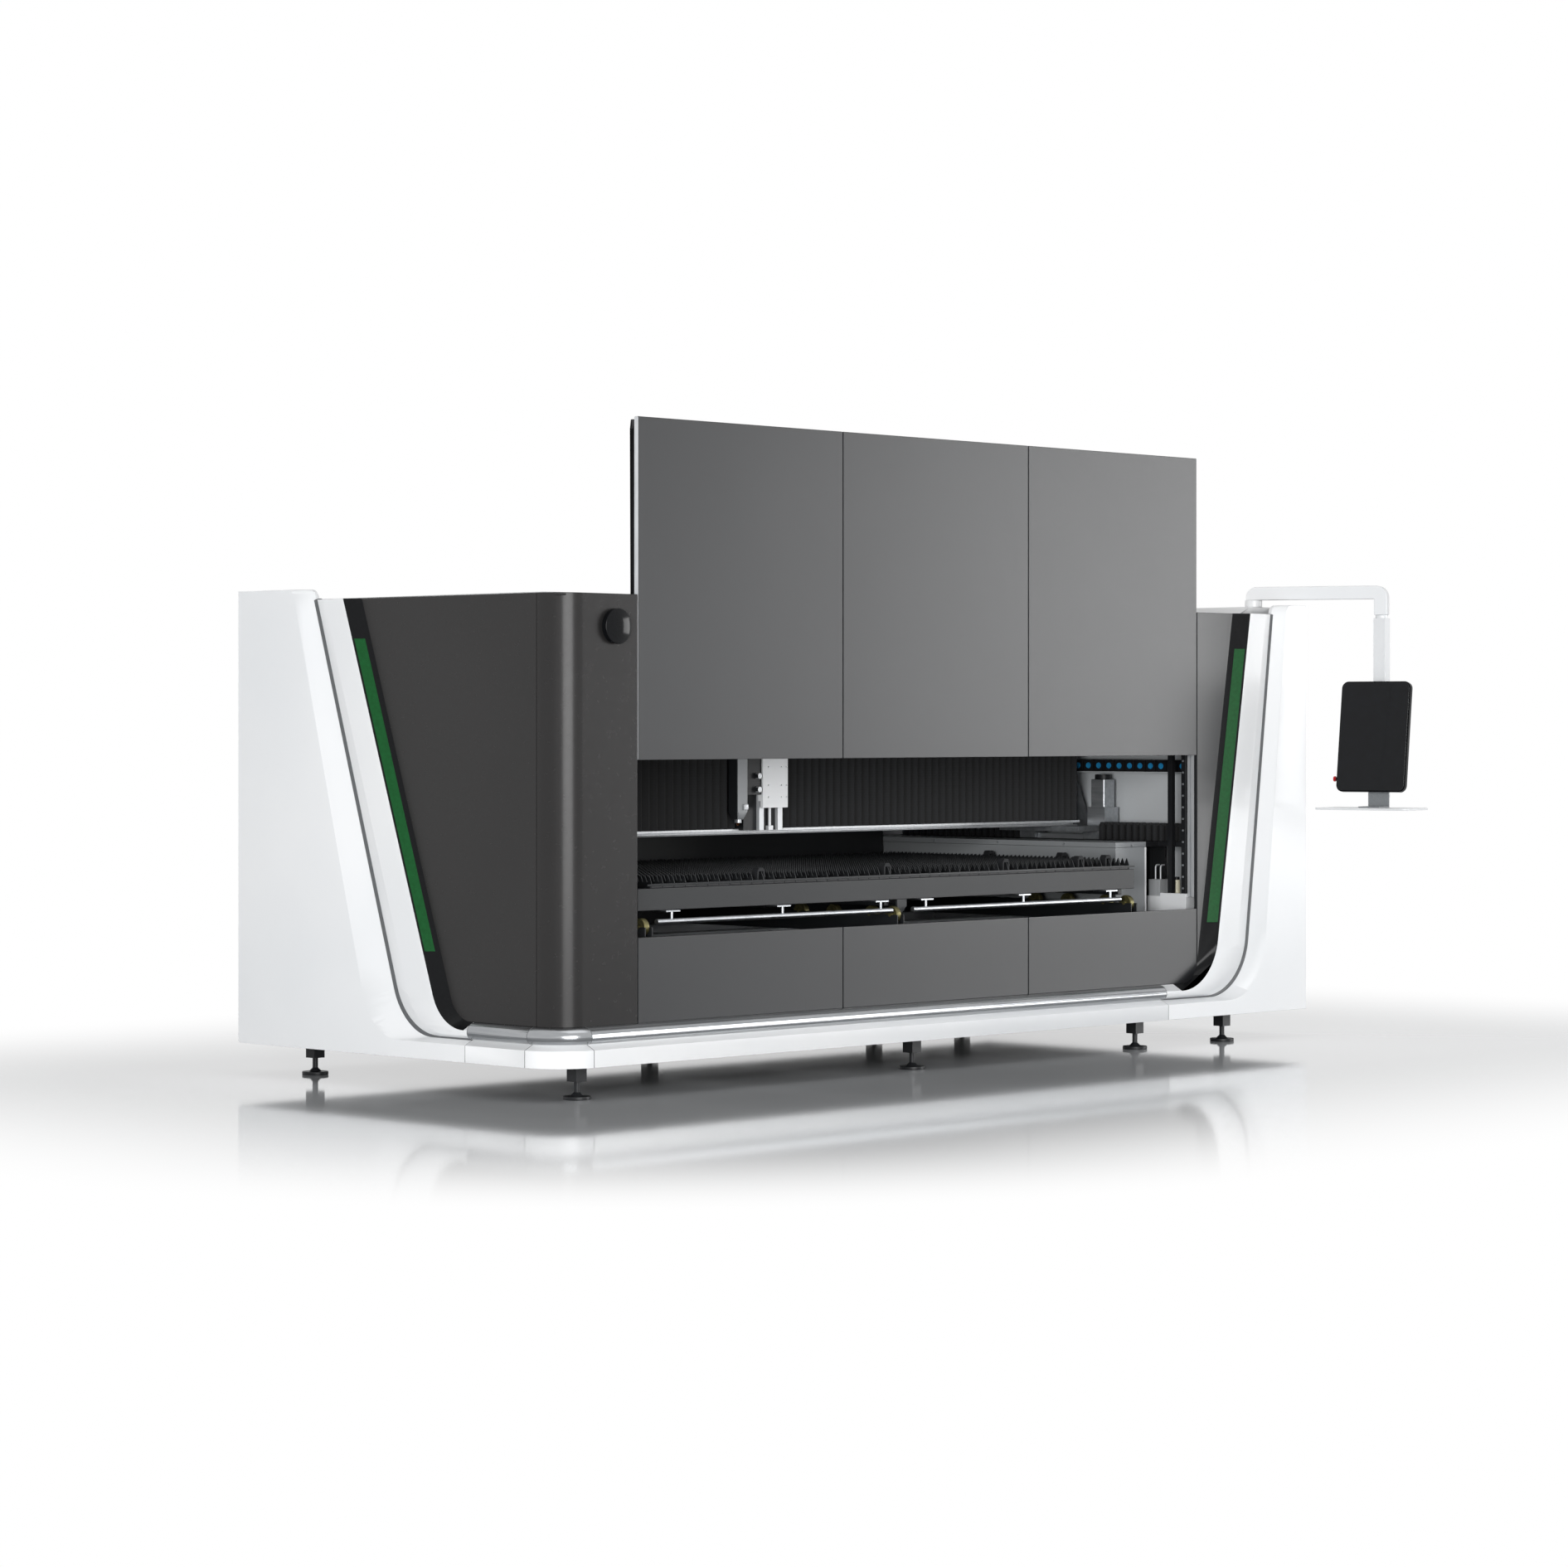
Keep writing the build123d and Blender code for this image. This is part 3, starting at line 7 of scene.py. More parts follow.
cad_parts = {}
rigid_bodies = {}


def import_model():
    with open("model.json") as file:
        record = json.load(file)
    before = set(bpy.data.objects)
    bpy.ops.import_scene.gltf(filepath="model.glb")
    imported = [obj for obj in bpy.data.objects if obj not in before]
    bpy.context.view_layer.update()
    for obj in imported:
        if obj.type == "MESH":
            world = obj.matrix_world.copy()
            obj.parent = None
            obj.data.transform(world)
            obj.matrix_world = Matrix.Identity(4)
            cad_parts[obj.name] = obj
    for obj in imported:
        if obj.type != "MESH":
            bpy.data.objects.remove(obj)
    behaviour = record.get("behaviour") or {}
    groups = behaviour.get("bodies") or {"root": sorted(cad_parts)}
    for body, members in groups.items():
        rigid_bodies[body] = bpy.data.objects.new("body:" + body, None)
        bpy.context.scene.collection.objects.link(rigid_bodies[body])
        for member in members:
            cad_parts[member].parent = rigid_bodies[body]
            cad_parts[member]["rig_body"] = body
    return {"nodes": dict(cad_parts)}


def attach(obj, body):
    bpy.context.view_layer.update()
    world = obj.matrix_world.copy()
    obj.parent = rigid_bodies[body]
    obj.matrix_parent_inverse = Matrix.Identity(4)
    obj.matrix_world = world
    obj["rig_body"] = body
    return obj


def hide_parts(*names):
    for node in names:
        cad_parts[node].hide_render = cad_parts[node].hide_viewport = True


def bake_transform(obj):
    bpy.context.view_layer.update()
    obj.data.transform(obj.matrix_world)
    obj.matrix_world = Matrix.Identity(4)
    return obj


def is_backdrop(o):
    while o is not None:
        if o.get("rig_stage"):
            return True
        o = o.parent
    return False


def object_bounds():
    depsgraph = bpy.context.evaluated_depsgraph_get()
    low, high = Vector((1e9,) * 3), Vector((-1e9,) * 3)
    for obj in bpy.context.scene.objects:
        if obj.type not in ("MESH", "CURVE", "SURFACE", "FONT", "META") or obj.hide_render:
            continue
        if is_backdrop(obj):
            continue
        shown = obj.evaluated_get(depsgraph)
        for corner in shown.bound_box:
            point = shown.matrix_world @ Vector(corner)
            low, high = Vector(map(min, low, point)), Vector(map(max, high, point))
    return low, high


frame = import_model()
cadLow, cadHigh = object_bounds()
nodes = frame["nodes"]

# machine drawings measure from the front left panel corner, in millimetres
cornerX = cadLow.x + 0.063
cornerY = cadHigh.y - 1.990


def at(x, y, z):
    return Vector((cornerX + x / 1000, cornerY + y / 1000, z / 1000))


origin = at(0, 0, 0)


def hexLinear(text):
    parts = [int(text[i:i + 2], 16) / 255 for i in (1, 3, 5)]
    return (*[c / 12.92 if c <= 0.04045 else ((c + 0.055) / 1.055) ** 2.4 for c in parts], 1.0)


def addNode(tree, kind, values=None, wires=None, **settings):
    node = tree.nodes.new(kind)
    for key, value in settings.items():
        setattr(node, key, value)
    for socket, value in (values or {}).items():
        node.inputs[socket].default_value = value
    for socket, source in (wires or {}).items():
        tree.links.new(source, node.inputs[socket])
    return node


def newFinish(name):
    finish = bpy.data.materials.new(name)
    finish.use_nodes = True
    tree = finish.node_tree
    shader = tree.nodes["Principled BSDF"]
    place = addNode(tree, "ShaderNodeTexCoord").outputs["Object"]
    return finish, tree, shader, place


def pick(*pieces):
    if bpy.context.object and bpy.context.object.mode != "OBJECT":
        bpy.ops.object.mode_set(mode="OBJECT")
    bpy.ops.object.select_all(action="DESELECT")
    for piece in pieces:
        piece.select_set(True)
    bpy.context.view_layer.objects.active = pieces[0]


# vertices picked by their place, left in edit mode for the next operator
def choose(piece, test):
    pick(piece)
    bpy.ops.object.mode_set(mode="EDIT")
    bpy.ops.mesh.select_mode(type="VERT")
    bpy.ops.mesh.select_all(action="DESELECT")
    bpy.ops.object.mode_set(mode="OBJECT")
    for vert in piece.data.vertices:
        vert.select = test(vert.co)
    bpy.ops.object.mode_set(mode="EDIT")


def settle(piece, name, finish, body):
    pick(piece)
    bpy.ops.object.transform_apply(location=True, rotation=True, scale=True)
    piece.name = name
    piece.data.materials.clear()
    piece.data.materials.append(finishes[finish])
    bpy.ops.object.shade_smooth_by_angle(angle=math.radians(30))
    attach(piece, body)


# a straight cut through every face, across x or y at a drawing measure
def cutThrough(piece, axis, place):
    pick(piece)
    bpy.ops.object.mode_set(mode="EDIT")
    bpy.ops.mesh.select_all(action="SELECT")
    bpy.ops.mesh.bisect(plane_co=at(place, place, place),
                        plane_no=[float(letter == axis) for letter in "xyz"])
    bpy.ops.object.mode_set(mode="OBJECT")


# copies of a finished mesh, each shifted by its step, joined to the first
def spread(piece, steps):
    twins = []
    for step in steps:
        twin = piece.copy()
        twin.data = piece.data.copy()
        bpy.context.scene.collection.objects.link(twin)
        twin.data.transform(Matrix.Translation(step))
        twins.append(twin)
    pick(piece, *twins)
    bpy.ops.object.join()


# powder coat: stoved polyester, a faint orange peel and slow colour drift; peel drawn coarse so it shows
coats = {
    "whitePowderCoat": dict(colour="#EBECED", drift="#E3E5E7", rough=0.36, shine=0.5, coat=0.2,
                            coatRough=0.2, peelMm=16, peel=0.05, driftMm=1400),
    "graphitePowderCoat": dict(colour="#2A2B2D", drift="#262729", rough=0.34, shine=0.44, coat=0.0,
                               coatRough=0.22, peelMm=12, peel=0.03, driftMm=1100),
    # a darker copy of the graphite coat: painted shade on the left side panel, corner panel and left front
    # cap
    "shadedGraphitePowderCoat": dict(colour="#252424", drift="#212020", rough=0.26, shine=0.28, coat=0.0,
                                   coatRough=0.2, peelMm=30, peel=0.004, driftMm=1100),
    "blackPowderCoat": dict(colour="#18191B", drift="#1D1E20", rough=0.42, shine=0.3, coat=0.0,
                            coatRough=0.25, peelMm=10, peel=0.08, driftMm=500),
    "darkGreyPowderCoat": dict(colour="#212325", drift="#1D1F21", rough=0.42, shine=0.35, coat=0.0,
                               coatRough=0.3, peelMm=10, peel=0.08, driftMm=600),
    "lightGreyPowderCoat": dict(colour="#909395", drift="#888B8E", rough=0.4, shine=0.5, coat=0.1,
                                coatRough=0.3, peelMm=12, peel=0.08, driftMm=900),
    "wallGreyPowderCoat": dict(colour="#C4C7C9", drift="#B9BDC0", rough=0.5, shine=0.4, coat=0.0,
                               coatRough=0.3, peelMm=12, peel=0.08, driftMm=900),
}
finishes = {}
coatSwing = 0.04  # roughness rises and falls by this over the peel
for coatName, look in coats.items():
    coatFinish, tree, shader, place = newFinish(coatName)
    cloud = addNode(tree, "ShaderNodeTexNoise", {"Scale": 1000 / look["driftMm"], "Detail": 3.0},
                    {"Vector": place})
    tint = addNode(tree, "ShaderNodeValToRGB", None, {"Fac": cloud.outputs["Fac"]})
    tint.color_ramp.elements[0].position = 0.35
    tint.color_ramp.elements[0].color = hexLinear(look["colour"])
    tint.color_ramp.elements[1].position = 0.65
    tint.color_ramp.elements[1].color = hexLinear(look["drift"])
    tree.links.new(tint.outputs["Color"], shader.inputs["Base Color"])
    peel = addNode(tree, "ShaderNodeTexNoise", {"Scale": 1000 / look["peelMm"], "Detail": 2.0},
                   {"Vector": place})
    gloss = addNode(tree, "ShaderNodeMapRange",
                    {"To Min": look["rough"] - coatSwing, "To Max": look["rough"] + coatSwing},
                    {"Value": peel.outputs["Fac"]})
    tree.links.new(gloss.outputs["Result"], shader.inputs["Roughness"])
    dimple = addNode(tree, "ShaderNodeBump", {"Strength": look["peel"], "Distance": 0.001},
                     {"Height": peel.outputs["Fac"]})
    tree.links.new(dimple.outputs["Normal"], shader.inputs["Normal"])
    shader.inputs["Specular IOR Level"].default_value = look["shine"]
    shader.inputs["Coat Weight"].default_value = look["coat"]
    shader.inputs["Coat Roughness"].default_value = look["coatRough"]
    finishes[coatName] = coatFinish

# metals: ground or drawn, so the grain runs one way and the shine breaks into streaks;
# grainMm is the streak along x, y and z, drawn coarse so it shows
metals = {
    "anodisedAluminium": dict(light="#D3D5D7", dark="#BDC0C3", metal=0.4, rough=0.4,
                              grainMm=(16.667, 16.667, 250)),
    "polishedSteel": dict(light="#B4B7BA", dark="#9FA2A6", metal=1.0, rough=0.3,
                          grainMm=(25, 25, 25)),
    "groundSteel": dict(light="#BFC2C5", dark="#9EA2A6", metal=0.7, rough=0.34,
                        grainMm=(25, 200, 25)),
    "castAluminium": dict(light="#8C8F92", dark="#707376", metal=0.5, rough=0.36,
                          grainMm=(33.333, 33.333, 33.333)),
    "slatSteel": dict(light="#2A2C2E", dark="#121315", metal=0.4, rough=0.55,
                      grainMm=(33.333, 83.333, 25)),
    "oliveBrass": dict(light="#7D774E", dark="#504C32", metal=0.7, rough=0.36,
                       grainMm=(125, 16.667, 16.667)),
    # satin silver for the base-trim bead, partly its own metal and partly darkened as painted shade
    "shadedSatinSilver": dict(light="#A8AAAC", dark="#989B9E", metal=0.95, rough=0.18,
                        grainMm=(250, 250, 25)),
    "turnedCopper": dict(light="#D08A5C", dark="#A9653C", metal=1.0, rough=0.28,
                         grainMm=(50, 50, 6.25)),
}
grainSwing = dict(down=0.08, up=0.1)  # roughness along and across the grain
for metalName, look in metals.items():
    metalFinish, tree, shader, place = newFinish(metalName)
    turned = addNode(tree, "ShaderNodeMapping", {"Scale": [1000 / streak for streak in look["grainMm"]]},
                     {"Vector": place})
    grain = addNode(tree, "ShaderNodeTexNoise", {"Scale": 1.0, "Detail": 4.0, "Roughness": 0.65},
                    {"Vector": turned.outputs["Vector"]})
    tint = addNode(tree, "ShaderNodeValToRGB", None, {"Fac": grain.outputs["Fac"]})
    tint.color_ramp.elements[0].position = 0.3
    tint.color_ramp.elements[0].color = hexLinear(look["dark"])
    tint.color_ramp.elements[1].position = 0.7
    tint.color_ramp.elements[1].color = hexLinear(look["light"])
    tree.links.new(tint.outputs["Color"], shader.inputs["Base Color"])
    gloss = addNode(tree, "ShaderNodeMapRange",
                    {"To Min": look["rough"] - grainSwing["down"],
                     "To Max": look["rough"] + grainSwing["up"]},
                    {"Value": grain.outputs["Fac"]})
    tree.links.new(gloss.outputs["Result"], shader.inputs["Roughness"])
    scratch = addNode(tree, "ShaderNodeBump", {"Strength": 0.06, "Distance": 0.001},
                      {"Height": grain.outputs["Fac"]})
    tree.links.new(scratch.outputs["Normal"], shader.inputs["Normal"])
    shader.inputs["Metallic"].default_value = look["metal"]
    finishes[metalName] = metalFinish

# moulded plastics and lacquer: smooth skin with a faint mould texture
plastics = {
    "blackAcrylic": dict(colour="#0C0D0F", other="#101113", rough=0.12, ior=1.49, shine=0.15,
                         textureMm=9, bump=0.02),
    "screenGlass": dict(colour="#0A0B0E", other="#0E1014", rough=0.05, ior=1.52, shine=0.9,
                        textureMm=40, bump=0.004),
    "chainNylon": dict(colour="#1E1F21", other="#18191B", rough=0.55, ior=1.53, shine=0.3,
                       textureMm=5, bump=0.15),
    "blockRubber": dict(colour="#242527", other="#1D1E20", rough=0.7, ior=1.5, shine=0.3,
                        textureMm=4, bump=0.2),
    "greenLens": dict(colour="#185229", other="#154823", rough=0.3, ior=1.49, shine=0.12,
                      textureMm=14, bump=0.03),
    "redPlastic": dict(colour="#C4161C", other="#A81218", rough=0.25, ior=1.46, shine=0.5,
                       textureMm=6, bump=0.04),
    "bluePlastic": dict(colour="#2E9BD6", other="#2789C0", rough=0.35, ior=1.46, shine=0.5,
                        textureMm=6, bump=0.05),
    "clearReservoir": dict(colour="#D9D4BE", other="#CFC9AE", rough=0.18, ior=1.49, shine=0.5,
                           textureMm=10, bump=0.03),
    # grey for the dark joints between base trims, and for the painted shade strips in the leg grooves
    "jointAndGrooveShadeGrey": dict(colour="#5A5C5E", other="#545658", rough=0.5, ior=1.5, shine=0.4,
                     textureMm=8, bump=0.05),
    "greyPlastic": dict(colour="#8C9093", other="#828689", rough=0.45, ior=1.46, shine=0.5,
                        textureMm=6, bump=0.08),
}
for plasticName, look in plastics.items():
    plasticFinish, tree, shader, place = newFinish(plasticName)
    mould = addNode(tree, "ShaderNodeTexNoise", {"Scale": 1000 / look["textureMm"], "Detail": 3.0},
                    {"Vector": place})
    tint = addNode(tree, "ShaderNodeValToRGB", None, {"Fac": mould.outputs["Fac"]})
    tint.color_ramp.elements[0].position = 0.3
    tint.color_ramp.elements[0].color = hexLinear(look["other"])
    tint.color_ramp.elements[1].position = 0.7
    tint.color_ramp.elements[1].color = hexLinear(look["colour"])
    tree.links.new(tint.outputs["Color"], shader.inputs["Base Color"])
    dimple = addNode(tree, "ShaderNodeBump", {"Strength": look["bump"], "Distance": 0.001},
                     {"Height": mould.outputs["Fac"]})
    tree.links.new(dimple.outputs["Normal"], shader.inputs["Normal"])
    shader.inputs["Roughness"].default_value = look["rough"]
    shader.inputs["IOR"].default_value = look["ior"]
    shader.inputs["Specular IOR Level"].default_value = look["shine"]
    finishes[plasticName] = plasticFinish

# bellows cloth: coated polyester weave, dull with a soft sheen, with random grime, a painted highlight on
# each fold's crest and painted shade in each valley; a wave at scale 1 repeats every 314 mm, and threads are
# drawn at 12 mm so they show
# the valley colour is painted shade and the crest colour is a painted highlight on the folds
cloth = dict(threadMm=12.083, waveMm=314.16, grimeMm=166.667, valleyShade="#030304", crest="#17181A", weave=0.15,
             rough=0.55, shine=0.2, sheen=0.05)
bellowsFinish, tree, shader, place = newFinish("bellowsCloth")
warp = addNode(tree, "ShaderNodeTexWave", {"Scale": cloth["waveMm"] / cloth["threadMm"], "Distortion": 0.6},
               {"Vector": place}, bands_direction="Z")
grime = addNode(tree, "ShaderNodeTexNoise", {"Scale": 1000 / cloth["grimeMm"], "Detail": 4.0},
                {"Vector": place})
# fold mask for the painted highlight on crests and the painted shade in valleys
crest = addNode(tree, "ShaderNodeAttribute", attribute_name="crest")  # 1 on a fold's crest, 0 in its valley
grimeAndCrestHighlight = addNode(tree, "ShaderNodeMath", {1: 0.3}, {0: grime.outputs["Fac"], 2: crest.outputs["Fac"]},
              operation="MULTIPLY_ADD")
tint = addNode(tree, "ShaderNodeValToRGB", None, {"Fac": grimeAndCrestHighlight.outputs["Value"]})
tint.color_ramp.elements[0].position = 0.35
tint.color_ramp.elements[0].color = hexLinear(cloth["valleyShade"])
tint.color_ramp.elements[1].position = 0.8
tint.color_ramp.elements[1].color = hexLinear(cloth["crest"])
tree.links.new(tint.outputs["Color"], shader.inputs["Base Color"])
weave = addNode(tree, "ShaderNodeBump", {"Strength": cloth["weave"], "Distance": 0.001},
                {"Height": warp.outputs["Fac"]})
tree.links.new(weave.outputs["Normal"], shader.inputs["Normal"])
shader.inputs["Roughness"].default_value = cloth["rough"]
shader.inputs["Specular IOR Level"].default_value = cloth["shine"]
shader.inputs["Sheen Weight"].default_value = cloth["sheen"]
finishes["bellowsCloth"] = bellowsFinish
print("finishes:", len(finishes))


# each CAD piece merged, its edges rounded over and its curves smoothed
skinning = dict(mergeMm=0.02, flatDeg=0.4, edgeDeg=30, edgeSteps=2, weight=100)


def skin(nodeName, finish, roundMm, ride=True):
    piece = bpy.data.objects.new(nodeName + "_skin", nodes[nodeName].data.copy())
    bpy.context.scene.collection.objects.link(piece)
    pick(piece)
    bpy.ops.mesh.customdata_custom_splitnormals_clear()
    bpy.ops.object.mode_set(mode="EDIT")
    bpy.ops.mesh.select_all(action="SELECT")
    bpy.ops.mesh.remove_doubles(threshold=skinning["mergeMm"] / 1000)
    bpy.ops.mesh.dissolve_limited(angle_limit=math.radians(skinning["flatDeg"]))
    bpy.ops.object.mode_set(mode="OBJECT")
    piece.data.materials.clear()
    piece.data.materials.append(finishes[finish])
    bpy.ops.object.modifier_add(type="BEVEL")
    edge = piece.modifiers[-1]
    edge.width = roundMm / 1000
    edge.segments = skinning["edgeSteps"]
    edge.limit_method = "ANGLE"
    edge.angle_limit = math.radians(skinning["edgeDeg"])
    bpy.ops.object.modifier_apply(modifier=edge.name)
    bpy.ops.object.shade_smooth_by_angle(angle=math.radians(skinning["edgeDeg"]))
    bpy.ops.object.modifier_add(type="WEIGHTED_NORMAL")  # broad faces stay flat beside their rounded edges
    piece.modifiers[-1].weight = skinning["weight"]
    piece.modifiers[-1].keep_sharp = True
    bpy.ops.object.modifier_apply(modifier=piece.modifiers[-1].name)
    if ride:
        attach(piece, nodes[nodeName]["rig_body"])
    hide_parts(nodeName)
    return piece


# a second finish on the faces within drawing measures such as xFrom or zTo, or that look leftward
def paint(piece, finish, leftward=None, **limits):
    if finish not in piece.data.materials:
        piece.data.materials.append(finishes[finish])
    index = piece.data.materials.find(finish)
    for face in piece.data.polygons:
        place = dict(zip("xyz", (face.center - origin) * 1000))
        inside = all(place[key[0]] > limit if key.endswith("From") else place[key[0]] < limit
                     for key, limit in limits.items())
        if inside and (leftward is None or face.normal.x < -leftward):
            face.material_index = index


skins = {
    "left_shell": ("whitePowderCoat", 3.0), "right_shell": ("whitePowderCoat", 3.0),
    "left_trim": ("whitePowderCoat", 2.0), "right_trim": ("whitePowderCoat", 2.0),
    "base_trim_left": ("whitePowderCoat", 2.0), "base_trim_corner": ("whitePowderCoat", 2.0),
    "base_trim_front": ("whitePowderCoat", 2.0),
    "rear_panels": ("whitePowderCoat", 3.0), "right_side_panel": ("whitePowderCoat", 3.0),
    "roof_cover": ("whitePowderCoat", 4.0),
    "console_neck": ("whitePowderCoat", 3.0), "console_arm": ("whitePowderCoat", 5.0),
    "drop_tube": ("whitePowderCoat", 4.0), "console_shelf": ("whitePowderCoat", 2.0),
    "lift_plate": ("whitePowderCoat", 1.0),
    # left side and corner panels take the darker graphite copy as painted shade
    "left_side_panel": ("shadedGraphitePowderCoat", 3.0), "corner_panel": ("shadedGraphitePowderCoat", 3.0),
    "front_right_panel": ("graphitePowderCoat", 3.0), "lower_panels": ("graphitePowderCoat", 3.0),
    "door_panels": ("graphitePowderCoat", 3.0),
    "door_frame": ("blackPowderCoat", 3.0), "door_posts": ("blackPowderCoat", 2.0),
    "door_guides": ("anodisedAluminium", 1.0),
    "base_frame": ("blackPowderCoat", 4.0), "levelling_feet": ("blackPowderCoat", 2.0),
    "light_channels": ("blackAcrylic", 1.5), "status_lights": ("greenLens", 1.0),
    "round_badge": ("blackAcrylic", 2.0),
    "monitor_housing": ("blackAcrylic", 3.0), "monitor_glass": ("screenGlass", 1.0),
    "stop_button": ("redPlastic", 1.5),
    "bed_sides": ("lightGreyPowderCoat", 3.0), "rail_beams": ("lightGreyPowderCoat", 3.0),
    "chamber_walls": ("wallGreyPowderCoat", 2.0), "control_cabinet": ("lightGreyPowderCoat", 4.0),
    "laser_source": ("lightGreyPowderCoat", 4.0),
    "gantry_rails": ("groundSteel", 1.5), "gantry_beam": ("anodisedAluminium", 2.0),
    "end_carriages": ("castAluminium", 2.0), "drive_motors": ("groundSteel", 3.0),
    "head_carriage": ("blackPowderCoat", 1.5), "cutting_head": ("lightGreyPowderCoat", 2.5),
    "nozzle": ("turnedCopper", 0.4),
    "table_frame": ("darkGreyPowderCoat", 3.0),
    "sheet_blocks": ("blockRubber", 1.5), "table_handles": ("polishedSteel", 0.8),
    "table_locator": ("darkGreyPowderCoat", 1.5), "roller_tracks": ("darkGreyPowderCoat", 1.0),
    "rollers_1": ("oliveBrass", 0.8), "rollers_2": ("oliveBrass", 0.8),
    "rollers_3": ("oliveBrass", 0.8), "rollers_4": ("oliveBrass", 0.8),
    "scrap_tray": ("groundSteel", 1.0), "lubricator": ("anodisedAluminium", 1.5),
    "cable_chain": ("chainNylon", 1.0),
}
dressed = {}
for nodeName, (finish, roundMm) in skins.items():
    dressed[nodeName] = skin(nodeName, finish, roundMm)
print("skins:", len(dressed))

# the closed door stops a millimetre above the lower panels
doorStop = dict(bottom=1372.2, gap=1.0)
for vert in dressed["door_panels"].data.vertices:
    if vert.co.z < doorStop["bottom"] / 1000:
        vert.co.z += doorStop["gap"] / 1000

# second finishes on pieces bought in or bolted together from several materials, and painted shade on the
# cutting head's left-looking faces
secondFinishesAndPaintedShade = (
    ("door_panels", "anodisedAluminium", dict(leftward=0.9, xTo=445)),
    ("chamber_walls", "darkGreyPowderCoat", dict(yFrom=1740, xTo=4200)),
    ("cable_chain", "bluePlastic", dict(xTo=4227.9)),
    ("drive_motors", "blackPowderCoat", dict(zFrom=1249)),
    ("head_carriage", "anodisedAluminium", dict(yTo=746)),
    ("cutting_head", "blackPowderCoat", dict(xFrom=1785)),
    ("cutting_head", "anodisedAluminium", dict(xFrom=1785, yTo=704)),
    # painted shade: the cutting head's faces that look left are painted dark grey
    ("cutting_head", "darkGreyPowderCoat", dict(leftward=0.7)),
    ("nozzle", "groundSteel", dict(zFrom=1080.5)),
    ("console_shelf", "greyPlastic", dict(zFrom=1119.5)),
    ("lubricator", "clearReservoir", dict(yTo=200)),
    ("lubricator", "blackPowderCoat", dict(yTo=200, zFrom=777.5)),
    ("door_posts", "whitePowderCoat", dict(zTo=715.5)),
    ("gantry_beam", "darkGreyPowderCoat", dict(zFrom=1053.5)),
    ("gantry_beam", "darkGreyPowderCoat", dict(yFrom=822)),
    ("table_frame", "blackPowderCoat", dict(zFrom=839.5)),
)
for nodeName, finish, where in secondFinishesAndPaintedShade:
    paint(dressed[nodeName], finish, **where)

# satin silver bead on the base trims, its colour darkened as painted shade, and a dark joint where one trim
# meets the next
baseTrims = dict(beadFrom=231, jointMm=3.0, joints={"base_trim_left": "y", "base_trim_front": "x"})
for trimName in ("base_trim_left", "base_trim_corner", "base_trim_front"):
    paint(dressed[trimName], "shadedSatinSilver", zFrom=baseTrims["beadFrom"])
for trimName, axis in baseTrims["joints"].items():
    trim = dressed[trimName]
    ends = [((vert.co - origin) * 1000)["xyz".index(axis)] for vert in trim.data.vertices]
    first, last = min(ends) + baseTrims["jointMm"], max(ends) - baseTrims["jointMm"]
    cutThrough(trim, axis, first)
    cutThrough(trim, axis, last)
    paint(trim, "jointAndGrooveShadeGrey", **{axis + "To": first})
    paint(trim, "jointAndGrooveShadeGrey", **{axis + "From": last})

# the flange plates are painted black from the bed side outwards
flange = dict(left=505, right=4015, bottom=934)
cutThrough(dressed["rail_beams"], "x", flange["left"])
cutThrough(dressed["rail_beams"], "x", flange["right"])
paint(dressed["rail_beams"], "blackPowderCoat", xTo=flange["left"])
paint(dressed["rail_beams"], "blackPowderCoat", xFrom=flange["right"])
paint(dressed["rail_beams"], "blackPowderCoat", zTo=flange["bottom"])
print("second finishes:", len(secondFinishesAndPaintedShade))

# the roof sheets fall gently to the front and left edges and stay level under the console
roofFall = dict(drop=36, left=1150, front=1150, level=4640, turn=4560, edge=(20, 110), top=2060)
roof = dressed["roof_cover"]
for axis, side in (("x", "left"), ("x", "turn"), ("x", "level"), ("y", "front")):
    cutThrough(roof, axis, roofFall[side])
edgeX, edgeY = roofFall["edge"]
for vert in roof.data.vertices:
    x, y, z = (vert.co - origin) * 1000
    if z > roofFall["top"] and x < roofFall["level"] - 1:
        fall = max((roofFall["left"] - x) / (roofFall["left"] - edgeX),
                   (roofFall["front"] - y) / (roofFall["front"] - edgeY), 0)
        vert.co.z -= min(fall, 1) * roofFall["drop"] / 1000
print("roof falls", roofFall["drop"], "mm")

# spiked slats of laser-cut sheet: one blade zigzagged, thickened and copied along the table
blade = dict(count=48, firstX=627.5, pitch=65.957, front=118.5, rear=1651.5, bottom=841.0, root=862.0,
             tip=891.0, teeth=60, thickness=4.0)
bpy.ops.object.select_all(action="DESELECT")
columns = 2 * blade["teeth"]
bpy.ops.mesh.primitive_grid_add(x_subdivisions=columns, y_subdivisions=1, size=1.0,
                                rotation=(math.pi / 2, 0, math.pi / 2))
slats = bpy.context.object
bladeLength = (blade["rear"] - blade["front"]) / 1000
slats.scale = (bladeLength, (blade["root"] - blade["bottom"]) / 1000, 1)
slats.location = at(blade["firstX"], (blade["front"] + blade["rear"]) / 2,
                    (blade["bottom"] + blade["root"]) / 2)
bpy.ops.object.transform_apply(location=True, rotation=True, scale=True)
startY = at(0, blade["front"], 0).y
upper = (blade["bottom"] + blade["root"]) / 2000
choose(slats, lambda p: p.z > upper and round((p.y - startY) / bladeLength * columns) % 2 == 1)
bpy.ops.transform.translate(value=(0, 0, (blade["tip"] - blade["root"]) / 1000))
bpy.ops.object.mode_set(mode="OBJECT")
bpy.ops.object.modifier_add(type="SOLIDIFY")
slats.modifiers[-1].thickness = blade["thickness"] / 1000
slats.modifiers[-1].offset = 0.0
bpy.ops.object.modifier_apply(modifier=slats.modifiers[-1].name)
spread(slats, [Vector((blade["pitch"] * index / 1000, 0, 0)) for index in range(1, blade["count"])])
settle(slats, "spiked_slats", "slatSteel", "table")
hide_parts("table_slats")
print("slats:", blade["count"])

